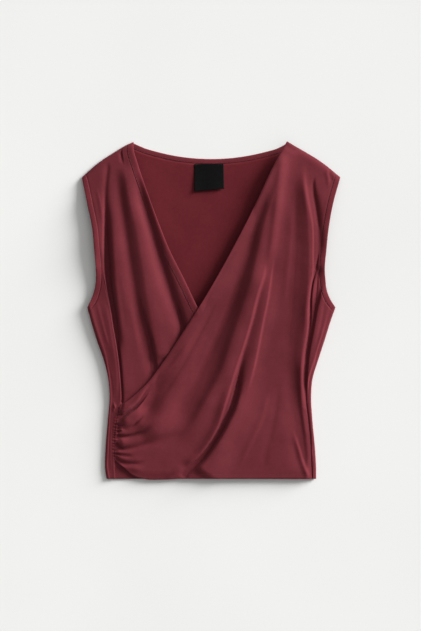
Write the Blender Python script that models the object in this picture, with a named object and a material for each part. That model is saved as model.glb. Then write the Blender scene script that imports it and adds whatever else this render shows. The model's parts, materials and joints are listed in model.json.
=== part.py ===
"""A sleeveless wrap top of crepe jersey, lying on its back with the front up.

The top lies on the plane z = 0. X runs to the viewer's right, Y from the hem to the neck, and Z up.
Sizes are in millimetres here and are turned into metres where the meshes are made. Every piece of
cloth is a closed wall between two skins that share one grid of points. The back lies flat and turns
over at both sides, up to the side seams, which lie on the front. The two fronts are height fields:
a base height, plus the folds of the tables below.
"""

from collections import namedtuple

import bpy
import numpy as np

MM = 0.001
COLLECTION = "wrap_top"

# Cloth and seams.
WALL = 1.2
STEEPEST_WALL = 1.5
SEAM_GAP = 0.3
LAYER_GAP = 0.7

# Widths of the strips that finish the edges.
NECK_BAND_WIDTH = 11.0
ARMHOLE_BAND_WIDTH = 8.5
BINDING_WIDTH = 8.0

# The body of the top.
HEM_Y = -268.5
UNDERARM_Y = 5.0
SEAM_TOP_Y = 64.0
UNDERLAP_SEAM_Y = -191.0
OVERLAP_SEAM_Y = -152.5
GATHER_END_Y = -239.0
ROLL_DEPTH = 4.5
ROLL_PATH = 6.7
STRIP_FULL_WIDTH = 34.0
STRIP_BLEND = 30.0
NECK_BAND_END = 14.0
SIDE_NAMES = ("left", "right")

# Heights of the fronts' lower skins, and how far from an edge they are reached.
UNDER_FLOOR = WALL + 0.5
OVER_FLOOR = UNDER_FLOOR + WALL + LAYER_GAP
UNDER_BASE = 5.0
OVER_BASE = 6.5
CHEST_LIFT = {"left": 6.5, "right": 3.5}
CHEST_START_Y = -100.0
CHEST_RISE = 140.0
CHEST_FROM_SHOULDER = 55.0
SHOULDER_HEIGHT = WALL + 0.6
SHOULDER_ROUNDING = 9.0
SEAM_ROUNDING = {"left": 8.0, "right": 9.0}
SEAM_SHARE = 0.15
UNDER_SEAM_ROUNDING = 2.0
UNDER_SEAM_BLEND = 60.0
COVERED_SLOPE = 36.0
COVERED_START = 2.0
V_EDGE_LIFT = {"left": 1.6, "right": 2.8}
V_EDGE_LIFT_WIDTH = {"left": 13.0, "right": 18.0}
DRAPE_ROUNDING = 14.0
DRAPE_SHARE = 0.5
OVER_COVER_START = 40.0
OVER_COVER_BLEND = 20.0
OVER_COVER_RISE = 40.0

# The neck label hangs from the back binding.
LABEL_WIDTH = 47.0
LABEL_LENGTH = 40.0
LABEL_X = -3.6
LABEL_TOP_Y = 235.8
LABEL_CURL = 2.2

# Rows and columns of the grids. A side seam has rows to the overlap, to the end of the gathers, to the hem.
FRONT_ARMHOLE_ROWS = 9
SEAM_ROWS = (11, 10, 2)
ROLL_COLUMNS = 3
STRIP_COLUMNS = 3
UNDERLAP_HEM_ROWS = 5
NECK_BAND_ROWS = FRONT_ARMHOLE_ROWS + sum(SEAM_ROWS) - UNDERLAP_HEM_ROWS
UNDER_COLUMNS = 28
UNDER_SPREAD = 1.35
V_EDGE_SPREAD = 1.35
DRAPE_COLUMNS = 8
HEM_COLUMNS = 20
NECK_COLUMNS = 12
SHOULDER_COLUMNS = 3

Colour = namedtuple("Colour", "rgb roughness")
BURGUNDY = Colour((0.140, 0.0242, 0.0316), 0.78)
BINDING_BURGUNDY = Colour((0.147, 0.0242, 0.0318), 0.74)
LABEL_BLACK = Colour((0.0032, 0.0032, 0.0034), 0.60)

# The outline. Each row is one level, and the columns are the x of each edge there.
Level = namedtuple("Level", "y left right")
ARMHOLES = (
    Level(213.0, -206.6, 205.8),
    Level(169.0, -197.3, 193.6),
    Level(129.0, -189.2, 186.6),
    Level(97.0, -186.3, 183.3),
    Level(65.0, -183.8, 180.8),
    Level(49.0, -183.8, 182.0),
    Level(33.0, -186.3, 183.9),
    Level(17.0, -191.8, 190.2),
    Level(UNDERARM_Y, -198.0, 198.4),
)
SIDES = (
    Level(UNDERARM_Y, -198.0, 198.4),
    Level(-15.0, -192.7, 191.2),
    Level(-47.0, -183.0, 181.2),
    Level(-79.0, -171.8, 170.8),
    Level(-111.0, -164.4, 161.4),
    Level(-135.0, -162.6, 159.6),
    Level(-175.0, -165.4, 161.6),
    Level(-223.0, -169.2, 166.0),
    Level(-255.0, -169.6, 167.6),
    Level(HEM_Y, -167.4, 167.6),
)

# How high the rounded side edges stand.
Roll = namedtuple("Roll", "y left right")
ROLLS = (
    Roll(UNDERARM_Y, 9.6, 6.6),
    Roll(-14.0, 9.6, 6.6),
    Roll(-40.0, 9.2, 6.2),
    Roll(-90.0, 7.8, 5.8),
    Roll(-140.0, 6.4, 5.4),
    Roll(HEM_Y, 5.0, 5.0),
)
# How much the turned side strips bulge between their edge and the seam.
STRIP_BULGE = {"left": -0.9, "right": 1.0}

# The side seams, with the height of the lower skin along them.
Seam = namedtuple("Seam", "y left left_height right right_height")
SIDE_SEAMS = (
    Seam(SEAM_TOP_Y, -174.4, 7.6, 170.0, 6.0),
    Seam(41.0, -170.4, 8.0, 168.6, 6.0),
    Seam(4.0, -162.0, 8.4, 165.2, 5.8),
    Seam(-31.0, -156.4, 8.4, 160.4, 5.4),
    Seam(-63.0, -151.0, 8.0, 154.4, 5.0),
    Seam(-103.0, -146.6, 6.8, 150.8, 4.4),
    Seam(OVERLAP_SEAM_Y, -145.8, 5.8, 151.9, 4.0),
    Seam(-175.0, -151.6, 5.5, 154.8, 3.8),
    Seam(-207.0, -154.6, 5.1, 158.0, 3.6),
    Seam(GATHER_END_Y, -154.8, 4.5, 159.6, 3.6),
    Seam(HEM_Y, -153.4, 3.7, 160.6, 3.6),
)

# Lines across the top, each from the neck outwards or from left to right.
SHOULDER_LEFT = ((-124.4, 269.5), (-135.1, 264.9), (-151.1, 255.3), (-180.2, 236.1), (-206.6, 213.0))
SHOULDER_RIGHT = ((120.6, 269.5), (128.6, 264.9), (146.5, 255.3), (177.4, 236.1), (205.8, 213.0))
BACK_NECK_DEPTH_Y = 242.3
BACK_NECK_SPREAD = 0.00152
BACK_NECK_HALF_WIDTH = 106.0
BACK_NECK_INSET = 2.5

# The V edges, from the neck to the side seam that each front is sewn into.
V_UNDER = (
    (-124.4, 269.5), (-124.0, 256.0), (-119.6, 240.9), (-103.6, 192.9), (-86.0, 144.9), (-66.8, 96.9),
    (-42.8, 48.9), (-22.2, 5.7), (10.0, -48.0), (60.0, -112.0), (115.0, -162.0), (156.2, UNDERLAP_SEAM_Y),
)
V_OVER = (
    (120.6, 269.5), (96.4, 224.9), (74.0, 176.9), (50.0, 128.9), (24.4, 80.9), (-2.8, 32.9),
    (-46.0, -36.0), (-86.0, -95.0), (-98.0, -111.0), (-115.6, -129.0), (-131.0, -142.0), (-145.65, OVERLAP_SEAM_Y),
)
# The overlap's lower edge, from the end of the gathers to the level hem.
DRAPE_EDGE = (
    (-154.65, GATHER_END_Y), (-140.2, -249.8), (-125.7, -262.5), (-108.0, -268.3), (-78.0, -269.4),
    (-48.4, HEM_Y + 0.6),
)

# The folds. A fold follows its path, rises by so much, and has a half-width on each side of it.
# It fades in and out over the given lengths. Looking along the path, left is on the left hand.
Fold = namedtuple("Fold", "rise left right fade_in fade_out path")
FOLDS_UNDER = {
    "slit_beside_seam": Fold(-14.0, 7.0, 3.0, 120.0, 60.0, (
        (-169.5, 200.0), (-168.5, 129.0), (-168.0, 80.0), (-167.0, 57.0), (-164.0, 30.0), (-160.0, 2.0),
        (-157.5, -20.0), (-153.0, -47.0), (-150.0, -75.0))),
    "slit_at_waist": Fold(-12.0, 3.0, 2.0, 60.0, 4.0, (
        (-161.0, 10.0), (-157.5, -20.0), (-153.0, -47.0), (-150.0, -66.0), (-147.4, -90.0), (-145.8, -111.0),
        (-144.4, -149.0))),
    "ridge_by_slit": Fold(1.1, 17.0, 6.0, 70.0, 10.0, (
        (-162.0, 196.0), (-157.4, 129.0), (-150.8, 57.0), (-146.4, -15.0), (-141.6, -87.0),
        (-139.0, -135.0))),
    "hollow_mid": Fold(-2.7, 7.0, 9.0, 40.0, 8.0, (
        (-146.0, 226.0), (-144.4, 193.0), (-137.0, 129.0), (-126.0, 57.0), (-114.0, -15.0), (-97.0, -87.0),
        (-91.0, -108.0))),
    "ridge_mid": Fold(3.2, 20.0, 10.0, 30.0, 10.0, (
        (-139.0, 238.0), (-132.4, 193.0), (-118.0, 129.0), (-106.0, 57.0), (-94.4, -15.0), (-80.0, -80.0))),
    "hollow_by_band": Fold(-6.0, 7.0, 12.0, 60.0, 8.0, (
        (-122.0, 226.0), (-112.6, 193.0), (-94.0, 129.0), (-73.0, 57.0), (-49.0, -15.0), (-38.0, -46.0))),
}
FOLDS_OVER = {
    "drape_crest": Fold(5.3, 18.0, 9.0, 70.0, 90.0, (
        (114.0, 236.0), (102.0, 190.0), (86.6, 141.7), (76.0, 94.0), (64.2, 45.7), (49.0, -2.0),
        (33.0, -50.0), (17.2, -98.0), (-8.4, -146.0), (-34.0, -190.0), (-56.0, -216.0))),
    "hollow_by_v_edge": Fold(-2.0, 14.0, 12.0, 80.0, 40.0, (
        (80.0, 190.0), (56.0, 94.0), (32.4, 20.0), (4.0, -46.0), (-34.8, -130.0), (-66.0, -180.0))),
    "puff_by_gathers": Fold(2.2, 32.0, 9.0, 20.0, 20.0, (
        (-126.0, -146.0), (-132.0, -166.0), (-138.0, -190.0), (-139.0, -214.0), (-134.0, -240.0))),
    "second_crest": Fold(4.4, 24.0, 18.0, 110.0, 30.0, (
        (-10.0, 4.0), (-38.8, -66.0), (-64.4, -130.0), (-91.6, -178.0), (-118.0, -200.0))),
    "deep_valley": Fold(-12.0, 5.0, 3.0, 130.0, 6.0, (
        (57.0, -52.0), (47.6, -87.0), (37.0, -137.0), (30.0, -159.0),
        (20.0, -178.0), (10.0, -197.5), (-2.6, -216.7), (-18.0, -236.0), (-40.0, -255.0), (-48.0, -266.0))),
    "crest_past_valley": Fold(2.6, 14.0, 15.0, 50.0, 40.0, (
        (96.0, 70.0), (83.0, -2.0), (74.0, -40.0), (63.0, -87.0), (48.0, -132.0), (31.0, -172.0),
        (12.0, -208.0), (-10.0, -240.0))),
    "lower_crest": Fold(5.4, 30.0, 10.0, 110.0, 16.0, (
        (64.4, -80.0), (51.0, -130.0), (33.6, -175.0), (5.0, -223.0), (-22.0, -264.0))),
    "hollow_upper": Fold(-0.5, 5.0, 14.0, 50.0, 50.0, (
        (134.0, 220.0), (134.0, 130.0), (131.0, 57.0), (126.0, -15.0), (119.0, -82.0))),
    "hollow_lower": Fold(-3.2, 7.5, 19.0, 70.0, 30.0, (
        (128.0, -60.0), (134.8, -114.0), (140.0, -170.0), (147.0, -225.0), (150.0, -262.0))),
    "side_ridge": Fold(2.6, 5.5, 10.5, 60.0, 190.0, (
        (143.0, 236.0), (147.0, 193.0), (153.0, 129.0), (153.4, 57.0), (148.0, -15.0), (142.0, -87.0),
        (143.0, -140.0), (150.0, -240.0))),
    "armhole_crease": Fold(-2.6, 5.0, 6.0, 40.0, 40.0, (
        (156.0, 216.0), (162.0, 193.0), (170.0, 150.0), (173.0, 108.0), (170.0, 76.0))),
    "v_edge_at_neck": Fold(4.6, 15.0, 9.0, 7.0, 110.0, (
        (119.0, 265.0), (96.4, 224.9), (74.0, 176.9), (50.0, 128.9))),
    "drape_bulk": Fold(3.4, 26.0, 12.0, 56.0, 44.0, (
        (-134.0, -211.0), (-113.0, -204.5), (-98.0, -199.6), (-78.8, -193.5), (-60.0, -188.5), (-38.0, -183.0))),
}

# The gathers sewn into the left side seam: creases that fan out from it into the drape.
Gather = namedtuple("Gather", "rise half_width path")
GATHERS = (
    Gather(-4.6, 3.8, ((-151.0, -178.0), (-143.6, -171.1), (-132.4, -162.3), (-119.6, -151.9), (-110.0, -141.5),
        (-102.2, -127.9), (-92.0, -111.0))),
    Gather(-2.4, 3.4, ((-152.0, -189.0), (-141.0, -190.0), (-131.0, -186.0), (-119.6, -178.5), (-108.0, -165.0))),
    Gather(-4.4, 4.0, ((-152.0, -198.5), (-141.0, -201.0), (-126.0, -199.1), (-110.0, -192.7), (-95.6, -180.7))),
    Gather(-4.4, 4.0, ((-154.0, -211.0), (-148.0, -219.5), (-134.0, -220.4), (-114.8, -214.8), (-95.6, -208.0))),
    Gather(-2.6, 3.2, ((-154.0, -228.0), (-146.0, -230.0), (-132.0, -231.0))),
    Gather(-4.2, 3.6, ((-155.0, -233.0), (-145.0, -242.0), (-130.0, -244.2), (-113.0, -242.5))),
)
GATHER_FADE = 14.0


def smoothstep(value):
    value = np.clip(value, 0.0, 1.0)
    return value * value * (3.0 - 2.0 * value)


def spline(points, step=4.0):
    """A smooth curve through the points, as a fine polyline."""
    points = np.array(points, float)
    chords = np.linalg.norm(np.diff(points, axis=0), axis=1)
    slopes = np.diff(points, axis=0) / chords[:, None]
    tangents = np.empty_like(points)
    tangents[0] = slopes[0]
    tangents[-1] = slopes[-1]
    before = chords[:-1, None]
    after = chords[1:, None]
    tangents[1:-1] = (slopes[:-1] * after + slopes[1:] * before) / (before + after)
    pieces = []
    for start, end, tangent_in, tangent_out, chord in zip(
        points[:-1], points[1:], tangents[:-1], tangents[1:], chords
    ):
        t = np.linspace(0.0, 1.0, max(2, int(chord / step) + 1), endpoint=False)[:, None]
        pieces.append(
            (2 * t**3 - 3 * t**2 + 1) * start
            + (t**3 - 2 * t**2 + t) * chord * tangent_in
            + (3 * t**2 - 2 * t**3) * end
            + (t**3 - t**2) * chord * tangent_out
        )
    return np.vstack(pieces + [points[-1:]])


def lengths_along(curve):
    return np.concatenate([[0.0], np.cumsum(np.linalg.norm(np.diff(curve, axis=0), axis=1))])


def at_fractions(curve, fractions):
    """Points of the curve at these fractions of its length."""
    length = lengths_along(curve)
    wanted = np.asarray(fractions) * length[-1]
    return np.column_stack([np.interp(wanted, length, column) for column in curve.T])


def stretch(curve, start_y, end_y, steps):
    """Points of a falling curve between two levels, evenly spaced along it."""
    length = lengths_along(curve)
    ends = np.interp([-start_y, -end_y], -curve[:, 1], length) / length[-1]
    return at_fractions(curve, np.linspace(ends[0], ends[1], steps + 1))


def shifted(curve, distance):
    """The curve moved to its left side by the distance."""
    tangent = np.gradient(curve, axis=0)
    tangent /= np.linalg.norm(tangent, axis=1)[:, None]
    return curve + distance * np.column_stack([-tangent[:, 1], tangent[:, 0]])


def beside(points, curve):
    """For each point: its distance to the left of the curve, and how far along the curve it lies."""
    start = curve[:-1]
    step = np.diff(curve, axis=0)
    size = (step**2).sum(axis=1)
    relative = points[:, None, :] - start[None, :, :]
    share = np.clip((relative * step).sum(axis=2) / size, 0.0, 1.0)
    away = relative - share[:, :, None] * step
    distance = np.linalg.norm(away, axis=2)
    nearest = distance.argmin(axis=1)
    rows = np.arange(len(points))
    step = step[nearest]
    away = away[rows, nearest]
    side = np.sign(step[:, 0] * away[:, 1] - step[:, 1] * away[:, 0])
    along = lengths_along(curve)[nearest] + share[rows, nearest] * np.sqrt(size[nearest])
    return side * distance[rows, nearest], along


def fold_relief(points, fold):
    """What one fold adds to the height of each point."""
    curve = spline(fold.path)
    distance, along = beside(points, curve)
    width = np.where(distance > 0.0, fold.left, fold.right)
    length = lengths_along(curve)[-1]
    fade = smoothstep(along / fold.fade_in) * smoothstep((length - along) / fold.fade_out)
    return fold.rise * fade * np.exp(-((distance / width) ** 2))


def relief(points, folds):
    return sum(fold_relief(points, fold) for fold in folds)


def level_curve(levels, column):
    return spline([(getattr(level, column), level.y) for level in levels])


def height_along_seam(side, y):
    levels = SIDE_SEAMS[::-1]
    return np.interp(y, [seam.y for seam in levels], [getattr(seam, side + "_height") for seam in levels])


def roll_height(side, y):
    levels = ROLLS[::-1]
    return np.interp(y, [level.y for level in levels], [getattr(level, side) for level in levels])


def gather_folds():
    return [
        Fold(gather.rise, gather.half_width, gather.half_width, 0.1, GATHER_FADE, gather.path)
        for gather in GATHERS
    ]


def roll_share(columns):
    """Columns of a quarter turn, from the side edge inwards: the depth and the rise of each, 0 to 1."""
    angle = np.linspace(0.0, np.pi / 2, columns + 1)
    return 1.0 - np.cos(angle), np.sin(angle)


class Outline:
    """The lines that the pieces share. Neighbours along a seam use the same stations of its line."""

    def __init__(self):
        self.v_under = spline(V_UNDER)
        self.v_over = spline(V_OVER)
        self.drape_edge = spline(DRAPE_EDGE)
        self.shoulder = {"left": spline(SHOULDER_LEFT), "right": spline(SHOULDER_RIGHT)}
        self.edge = {side: level_curve(SIDES, side) for side in SIDE_NAMES}
        self.seam = {side: level_curve(SIDE_SEAMS, side) for side in SIDE_NAMES}
        self.armhole_outer = {}
        self.armhole_inner = {}
        self.seam_points = {}
        for side in SIDE_NAMES:
            outer = level_curve(ARMHOLES, side)
            self.armhole_outer[side] = armhole_stations(outer)
            self.armhole_inner[side] = armhole_stations(self.inner_armhole(side, outer))
            self.seam_points[side] = self.seam_stations(side)
        self.neck_band_inner = self.inner_neck_band()

    def on_shoulder(self, side, from_tip):
        length = lengths_along(self.shoulder[side])[-1]
        return at_fractions(self.shoulder[side], [1.0 - from_tip / length])[0]

    def beside_neck(self, side, from_neck):
        length = lengths_along(self.shoulder[side])[-1]
        return at_fractions(self.shoulder[side], [from_neck / length])[0]

    def on_edge(self, side, below_underarm):
        length = lengths_along(self.edge[side])[-1]
        return at_fractions(self.edge[side], [below_underarm / length])[0]

    def inner_armhole(self, side, outer):
        """The line between the armhole's strip and the panels, from the shoulder to the side edge."""
        inwards = ARMHOLE_BAND_WIDTH if side == "left" else -ARMHOLE_BAND_WIDTH
        line = shifted(outer, inwards)
        line = line[(line[:, 1] > UNDERARM_Y + 8.0) & (line[:, 1] < ARMHOLES[0].y - 10.0)]
        top = self.on_shoulder(side, ARMHOLE_BAND_WIDTH)
        end = self.on_edge(side, ARMHOLE_BAND_WIDTH)
        return spline(np.vstack([top, line[::3], end]))

    def seam_stations(self, side):
        levels = (SEAM_TOP_Y, OVERLAP_SEAM_Y, GATHER_END_Y, HEM_Y)
        points = [self.armhole_inner[side][FRONT_ARMHOLE_ROWS : FRONT_ARMHOLE_ROWS + 1]]
        for start, end, rows in zip(levels[:-1], levels[1:], SEAM_ROWS):
            points.append(stretch(self.seam[side], start, end, rows)[1:])
        return np.vstack(points)

    def inner_neck_band(self):
        """The line between the underlap and its neck band, down to the right side seam."""
        line = shifted(self.v_under, -NECK_BAND_WIDTH)
        start = self.beside_neck("left", NECK_BAND_WIDTH)
        end = self.seam_points["right"][-UNDERLAP_HEM_ROWS - 1] - (SEAM_GAP / 2, 0.0)
        line = line[(line[:, 1] < start[1] - 8.0) & (line[:, 0] < end[0] - 12.0)]
        line = spline(np.vstack([start, line[::4], end]))
        return at_fractions(line, np.linspace(0.0, 1.0, NECK_BAND_ROWS + 1))


def armhole_stations(line):
    """From the shoulder to the seam's top, on to the start of the roll, and over the roll's edge."""
    length = lengths_along(line)
    at_seam = np.interp(-SEAM_TOP_Y, -line[:, 1], length) / length[-1]
    roll = ROLL_PATH / length[-1]
    front = np.linspace(0.0, at_seam, FRONT_ARMHOLE_ROWS + 1)
    strip = np.linspace(at_seam, 1.0 - roll, STRIP_COLUMNS + 1)[1:]
    turn = 1.0 - roll * roll_share(ROLL_COLUMNS)[0][::-1][1:]
    return at_fractions(line, np.concatenate([front, strip, turn]))


LINES = Outline()


def strip_height(points, side):
    """The lower skin of the back where it is turned over onto the front."""
    distance = np.abs(beside(points, LINES.seam[side])[0])
    edge = np.interp(points[:, 1], LINES.edge[side][::-1, 1], LINES.edge[side][::-1, 0])
    seam = np.interp(points[:, 1], LINES.seam[side][::-1, 1], LINES.seam[side][::-1, 0])
    width = np.where(points[:, 1] < UNDERARM_Y, np.abs(edge - seam), STRIP_FULL_WIDTH)
    at_seam = height_along_seam(side, points[:, 1])
    share = np.clip(distance / width, 0.0, 1.0)
    bulge = STRIP_BULGE[side] * 4.0 * share * (1.0 - share)
    return at_seam + (roll_height(side, points[:, 1]) - WALL - at_seam) * smoothstep(share) + bulge


def near_shoulder(points, side):
    """0 at the shoulder line and 1 past its rounding."""
    distance = np.abs(beside(points, LINES.shoulder[side])[0])
    return np.sqrt(np.clip(1.0 - (1.0 - np.clip(distance / SHOULDER_ROUNDING, 0.0, 1.0)) ** 2, 0.0, 1.0))


def blend_to(height, edge_height, weight):
    return edge_height + (height - edge_height) * weight


def chest_lift(points, side):
    """How much higher a front stands over the chest than at the waist."""
    up = smoothstep((points[:, 1] - CHEST_START_Y) / CHEST_RISE)
    from_shoulder = np.abs(beside(points, LINES.shoulder[side])[0])
    return CHEST_LIFT[side] * up * smoothstep(from_shoulder / CHEST_FROM_SHOULDER)


def under_height(points):
    """The lower skin of the underlap and its neck band."""
    base = UNDER_BASE + chest_lift(points, "left")
    height = base + relief(points, FOLDS_UNDER.values())
    from_edge = beside(points, LINES.v_under)[0]
    height += V_EDGE_LIFT["left"] * np.exp(-((from_edge / V_EDGE_LIFT_WIDTH["left"]) ** 2))
    from_seam = np.abs(beside(points, LINES.seam["left"])[0])
    beside_seam = smoothstep((SEAM_TOP_Y + UNDER_SEAM_BLEND / 2 - points[:, 1]) / UNDER_SEAM_BLEND)
    beside_seam *= np.exp(-((from_seam / UNDER_SEAM_ROUNDING) ** 2))
    height = blend_to(height, height_along_seam("left", points[:, 1]), 1.0 - beside_seam)
    height = blend_to(height, SHOULDER_HEIGHT, near_shoulder(points, "left"))
    covered = beside(points, LINES.v_over)[0]
    height = blend_to(height, UNDER_FLOOR, 1.0 - smoothstep((covered + COVERED_START) / COVERED_SLOPE))
    return np.maximum(height, UNDER_FLOOR)


def over_height(points):
    """The lower skin of the overlap."""
    height = OVER_BASE + chest_lift(points, "right")
    height += relief(points, FOLDS_OVER.values())
    inside = beside(points, LINES.v_over)[0]
    height += V_EDGE_LIFT["right"] * np.exp(-((inside / V_EDGE_LIFT_WIDTH["right"]) ** 2))
    for side in SIDE_NAMES:
        from_seam = np.abs(beside(points, LINES.seam[side])[0])
        weight = SEAM_SHARE + (1.0 - SEAM_SHARE) * smoothstep(from_seam / SEAM_ROUNDING[side])
        height = blend_to(height, height_along_seam(side, points[:, 1]), weight)
    height = blend_to(height, SHOULDER_HEIGHT, near_shoulder(points, "right"))
    from_drape = np.abs(beside(points, LINES.drape_edge)[0])
    weight = DRAPE_SHARE + (1.0 - DRAPE_SHARE) * smoothstep(from_drape / DRAPE_ROUNDING)
    height = blend_to(height, OVER_FLOOR, weight)
    height += relief(points, gather_folds())
    covered = smoothstep((inside + OVER_COVER_START) / OVER_COVER_BLEND)
    covered *= smoothstep((UNDERARM_Y + OVER_COVER_RISE - points[:, 1]) / OVER_COVER_RISE)
    lowest = SHOULDER_HEIGHT + (OVER_FLOOR - SHOULDER_HEIGHT) * covered
    clear_of_under = under_height(points) + WALL * STEEPEST_WALL + LAYER_GAP / 2 * covered
    return np.maximum(np.maximum(height, lowest), clear_of_under)


def coons(left, right, start, end, spread=1.0):
    """A grid of points between four border lines. A spread over 1 packs its columns towards the left."""
    t = np.linspace(0.0, 1.0, len(left))[:, None, None]
    s = np.linspace(0.0, 1.0, len(start))[None, :, None] ** spread
    ruled_across = (1 - s) * left[:, None, :] + s * right[:, None, :]
    ruled_along = (1 - t) * start[None, :, :] + t * end[None, :, :]
    first = (1 - s) * left[0] + s * right[0]
    last = (1 - s) * left[-1] + s * right[-1]
    return ruled_across + ruled_along - (1 - t) * first - t * last


def grid_faces(index):
    """Quads between the neighbours of a grid of point numbers."""
    return [
        (int(index[j, i]), int(index[j + 1, i]), int(index[j + 1, i + 1]), int(index[j, i + 1]))
        for j in range(index.shape[0] - 1)
        for i in range(index.shape[1] - 1)
    ]


def point_normals(points, faces):
    normals = np.zeros_like(points)
    for face in faces:
        a, b, c, d = points[list(face)]
        normals[list(face)] += np.cross(c - a, d - b)
    return normals / np.linalg.norm(normals, axis=1)[:, None]


def without(vectors, direction):
    """Unit vectors: the given ones with their part along the direction taken out."""
    direction = direction / np.linalg.norm(direction, axis=1)[:, None]
    vectors = vectors - (vectors * direction).sum(axis=1)[:, None] * direction
    return vectors / np.linalg.norm(vectors, axis=1)[:, None]


def facing(points, faces, first_normal_z):
    """The faces, turned round if the first point's normal has the other sign along Z."""
    if point_normals(points, faces)[0, 2] * first_normal_z < 0.0:
        return [face[::-1] for face in faces]
    return faces


def build_wall(name, skin, lining, faces, material):
    """A closed wall: the skin with its faces as given, the lining turned round, and a rim."""
    count = len(skin)
    edges = {}
    for face in faces:
        for a, b in zip(face, face[1:] + face[:1]):
            edges[(a, b)] = True
    rim = [(b, a, a + count, b + count) for a, b in edges if (b, a) not in edges]
    inner = [tuple(corner + count for corner in reversed(face)) for face in faces]
    mesh = bpy.data.meshes.new(name)
    points = np.vstack([skin, lining]) - CENTRE
    mesh.from_pydata((points * MM).tolist(), [], faces + inner + rim)
    mesh.materials.append(material)
    mesh.shade_smooth()
    mesh.set_sharp_from_angle(angle=np.radians(50.0))
    piece = bpy.data.objects.new(name, mesh)
    bpy.data.collections[COLLECTION].objects.link(piece)
    return piece


def height_field(name, grid, height, material):
    """A wall over a grid of plan points, whose lower skin has the given height."""
    rows, columns = grid.shape[:2]
    flat = grid.reshape(-1, 2)
    low = height(flat)
    surface = np.concatenate([grid, low.reshape(rows, columns, 1)], axis=2)
    along = np.gradient(surface, axis=0)
    across = np.gradient(surface, axis=1)
    normal = np.cross(along, across).reshape(-1, 3)
    steepness = np.linalg.norm(normal, axis=1) / np.abs(normal[:, 2])
    high = low + WALL * np.minimum(steepness, STEEPEST_WALL)
    index = np.arange(rows * columns).reshape(rows, columns)
    skin = np.column_stack([flat, high])
    lining = np.column_stack([flat, low])
    return build_wall(name, skin, lining, facing(skin, grid_faces(index), 1.0), material)


def on_line(points, curve):
    """The points moved to the nearest point of the curve."""
    length = lengths_along(curve)
    along = beside(points, curve)[1]
    return np.column_stack([np.interp(along, length, column) for column in curve.T])


def front_border(side, outwards):
    """A front's armhole and side seam, from the shoulder to the hem."""
    seam = LINES.seam_points[side] - (outwards * SEAM_GAP / 2, 0.0)
    return np.vstack([LINES.armhole_inner[side][:FRONT_ARMHOLE_ROWS], seam])


def shoulder_border(start, end, side, columns, spread=1.0):
    across = np.linspace(0.0, 1.0, columns + 1)[:, None] ** spread
    points = on_line(start + (end - start) * across, LINES.shoulder[side])
    points[0] = start
    points[-1] = end
    return points


def front_under(material):
    left = front_border("left", -1.0)
    hem_part = LINES.seam_points["right"][-UNDERLAP_HEM_ROWS:] - (SEAM_GAP / 2, 0.0)
    right = np.vstack([LINES.neck_band_inner, hem_part])
    shoulder = shoulder_border(left[0], right[0], "left", UNDER_COLUMNS, UNDER_SPREAD)
    across = np.linspace(0.0, 1.0, UNDER_COLUMNS + 1)[:, None]
    hem = left[-1] + (right[-1] - left[-1]) * across**UNDER_SPREAD
    grid = coons(left, right, shoulder, hem, UNDER_SPREAD)
    return height_field("front_under", grid, under_height, material)


def front_over(material):
    right = front_border("right", 1.0)
    seam_start, seam_end = SEAM_ROWS[0], SEAM_ROWS[0] + SEAM_ROWS[1]
    stations = LINES.seam_points["left"][seam_start : seam_end + 1] + (SEAM_GAP / 2, 0.0)
    gathered = halved(stations)
    drape = at_fractions(LINES.drape_edge, np.linspace(0.0, 1.0, DRAPE_COLUMNS + 1))
    level = np.linspace(0.0, 1.0, HEM_COLUMNS + 1)[:, None]
    hem = drape[-1] + (right[-1] - drape[-1]) * level
    end = np.vstack([gathered, drape[1:], hem[1:]])
    share = 1.0 - np.linspace(1.0, 0.0, len(right)) ** V_EDGE_SPREAD
    left = at_fractions(LINES.v_over, share)
    left[-1] = end[0]
    shoulder = shoulder_border(left[0], right[0], "right", len(end) - 1)
    return height_field("front_over", coons(left, right, shoulder, end), over_height, material)


def halved(points):
    """The points with one more in the middle of each step."""
    middles = (points[:-1] + points[1:]) / 2
    mixed = np.empty((len(points) + len(middles), 2))
    mixed[0::2] = points
    mixed[1::2] = middles
    return mixed


def neck_band(material):
    """The strip along the underlap's V edge, beside the panel's own stations."""
    inner = shifted(LINES.neck_band_inner, SEAM_GAP)
    inner[0] = LINES.beside_neck("left", NECK_BAND_WIDTH - SEAM_GAP)
    outer = on_line(inner, LINES.v_under)
    outer[0] = LINES.v_under[0]
    keep = inner[:, 0] < LINES.seam["right"][-1, 0] - NECK_BAND_END
    grid = np.stack([inner, (inner + outer) / 2, outer], axis=1)[keep]
    return height_field("neck_band_under", grid, under_height, material)


def side_patch(side):
    """The plan of the strip that is turned over: rows from the underarm to the hem, edge to seam."""
    outwards = -1.0 if side == "left" else 1.0
    top = LINES.armhole_inner[side][FRONT_ARMHOLE_ROWS:][::-1].copy()
    seam = LINES.seam_points[side] + (outwards * SEAM_GAP / 2, 0.0)
    edge = stretch(LINES.edge[side], top[0, 1], HEM_Y, len(seam) - 1)
    share = roll_share(ROLL_COLUMNS)[0]
    rows = []
    for start, end in zip(edge, seam):
        depth = ROLL_DEPTH / np.linalg.norm(end - start)
        strip = np.linspace(depth, 1.0, STRIP_COLUMNS + 1)[1:]
        fractions = np.concatenate([share * depth, strip])[:, None]
        rows.append(start + fractions * (end - start))
    plan = np.array(rows)
    top[-1] = seam[0]
    fade = (1.0 - np.linspace(0.0, 1.0, len(plan))) ** 3
    return plan + fade[:, None, None] * (top - plan[0])


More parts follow.
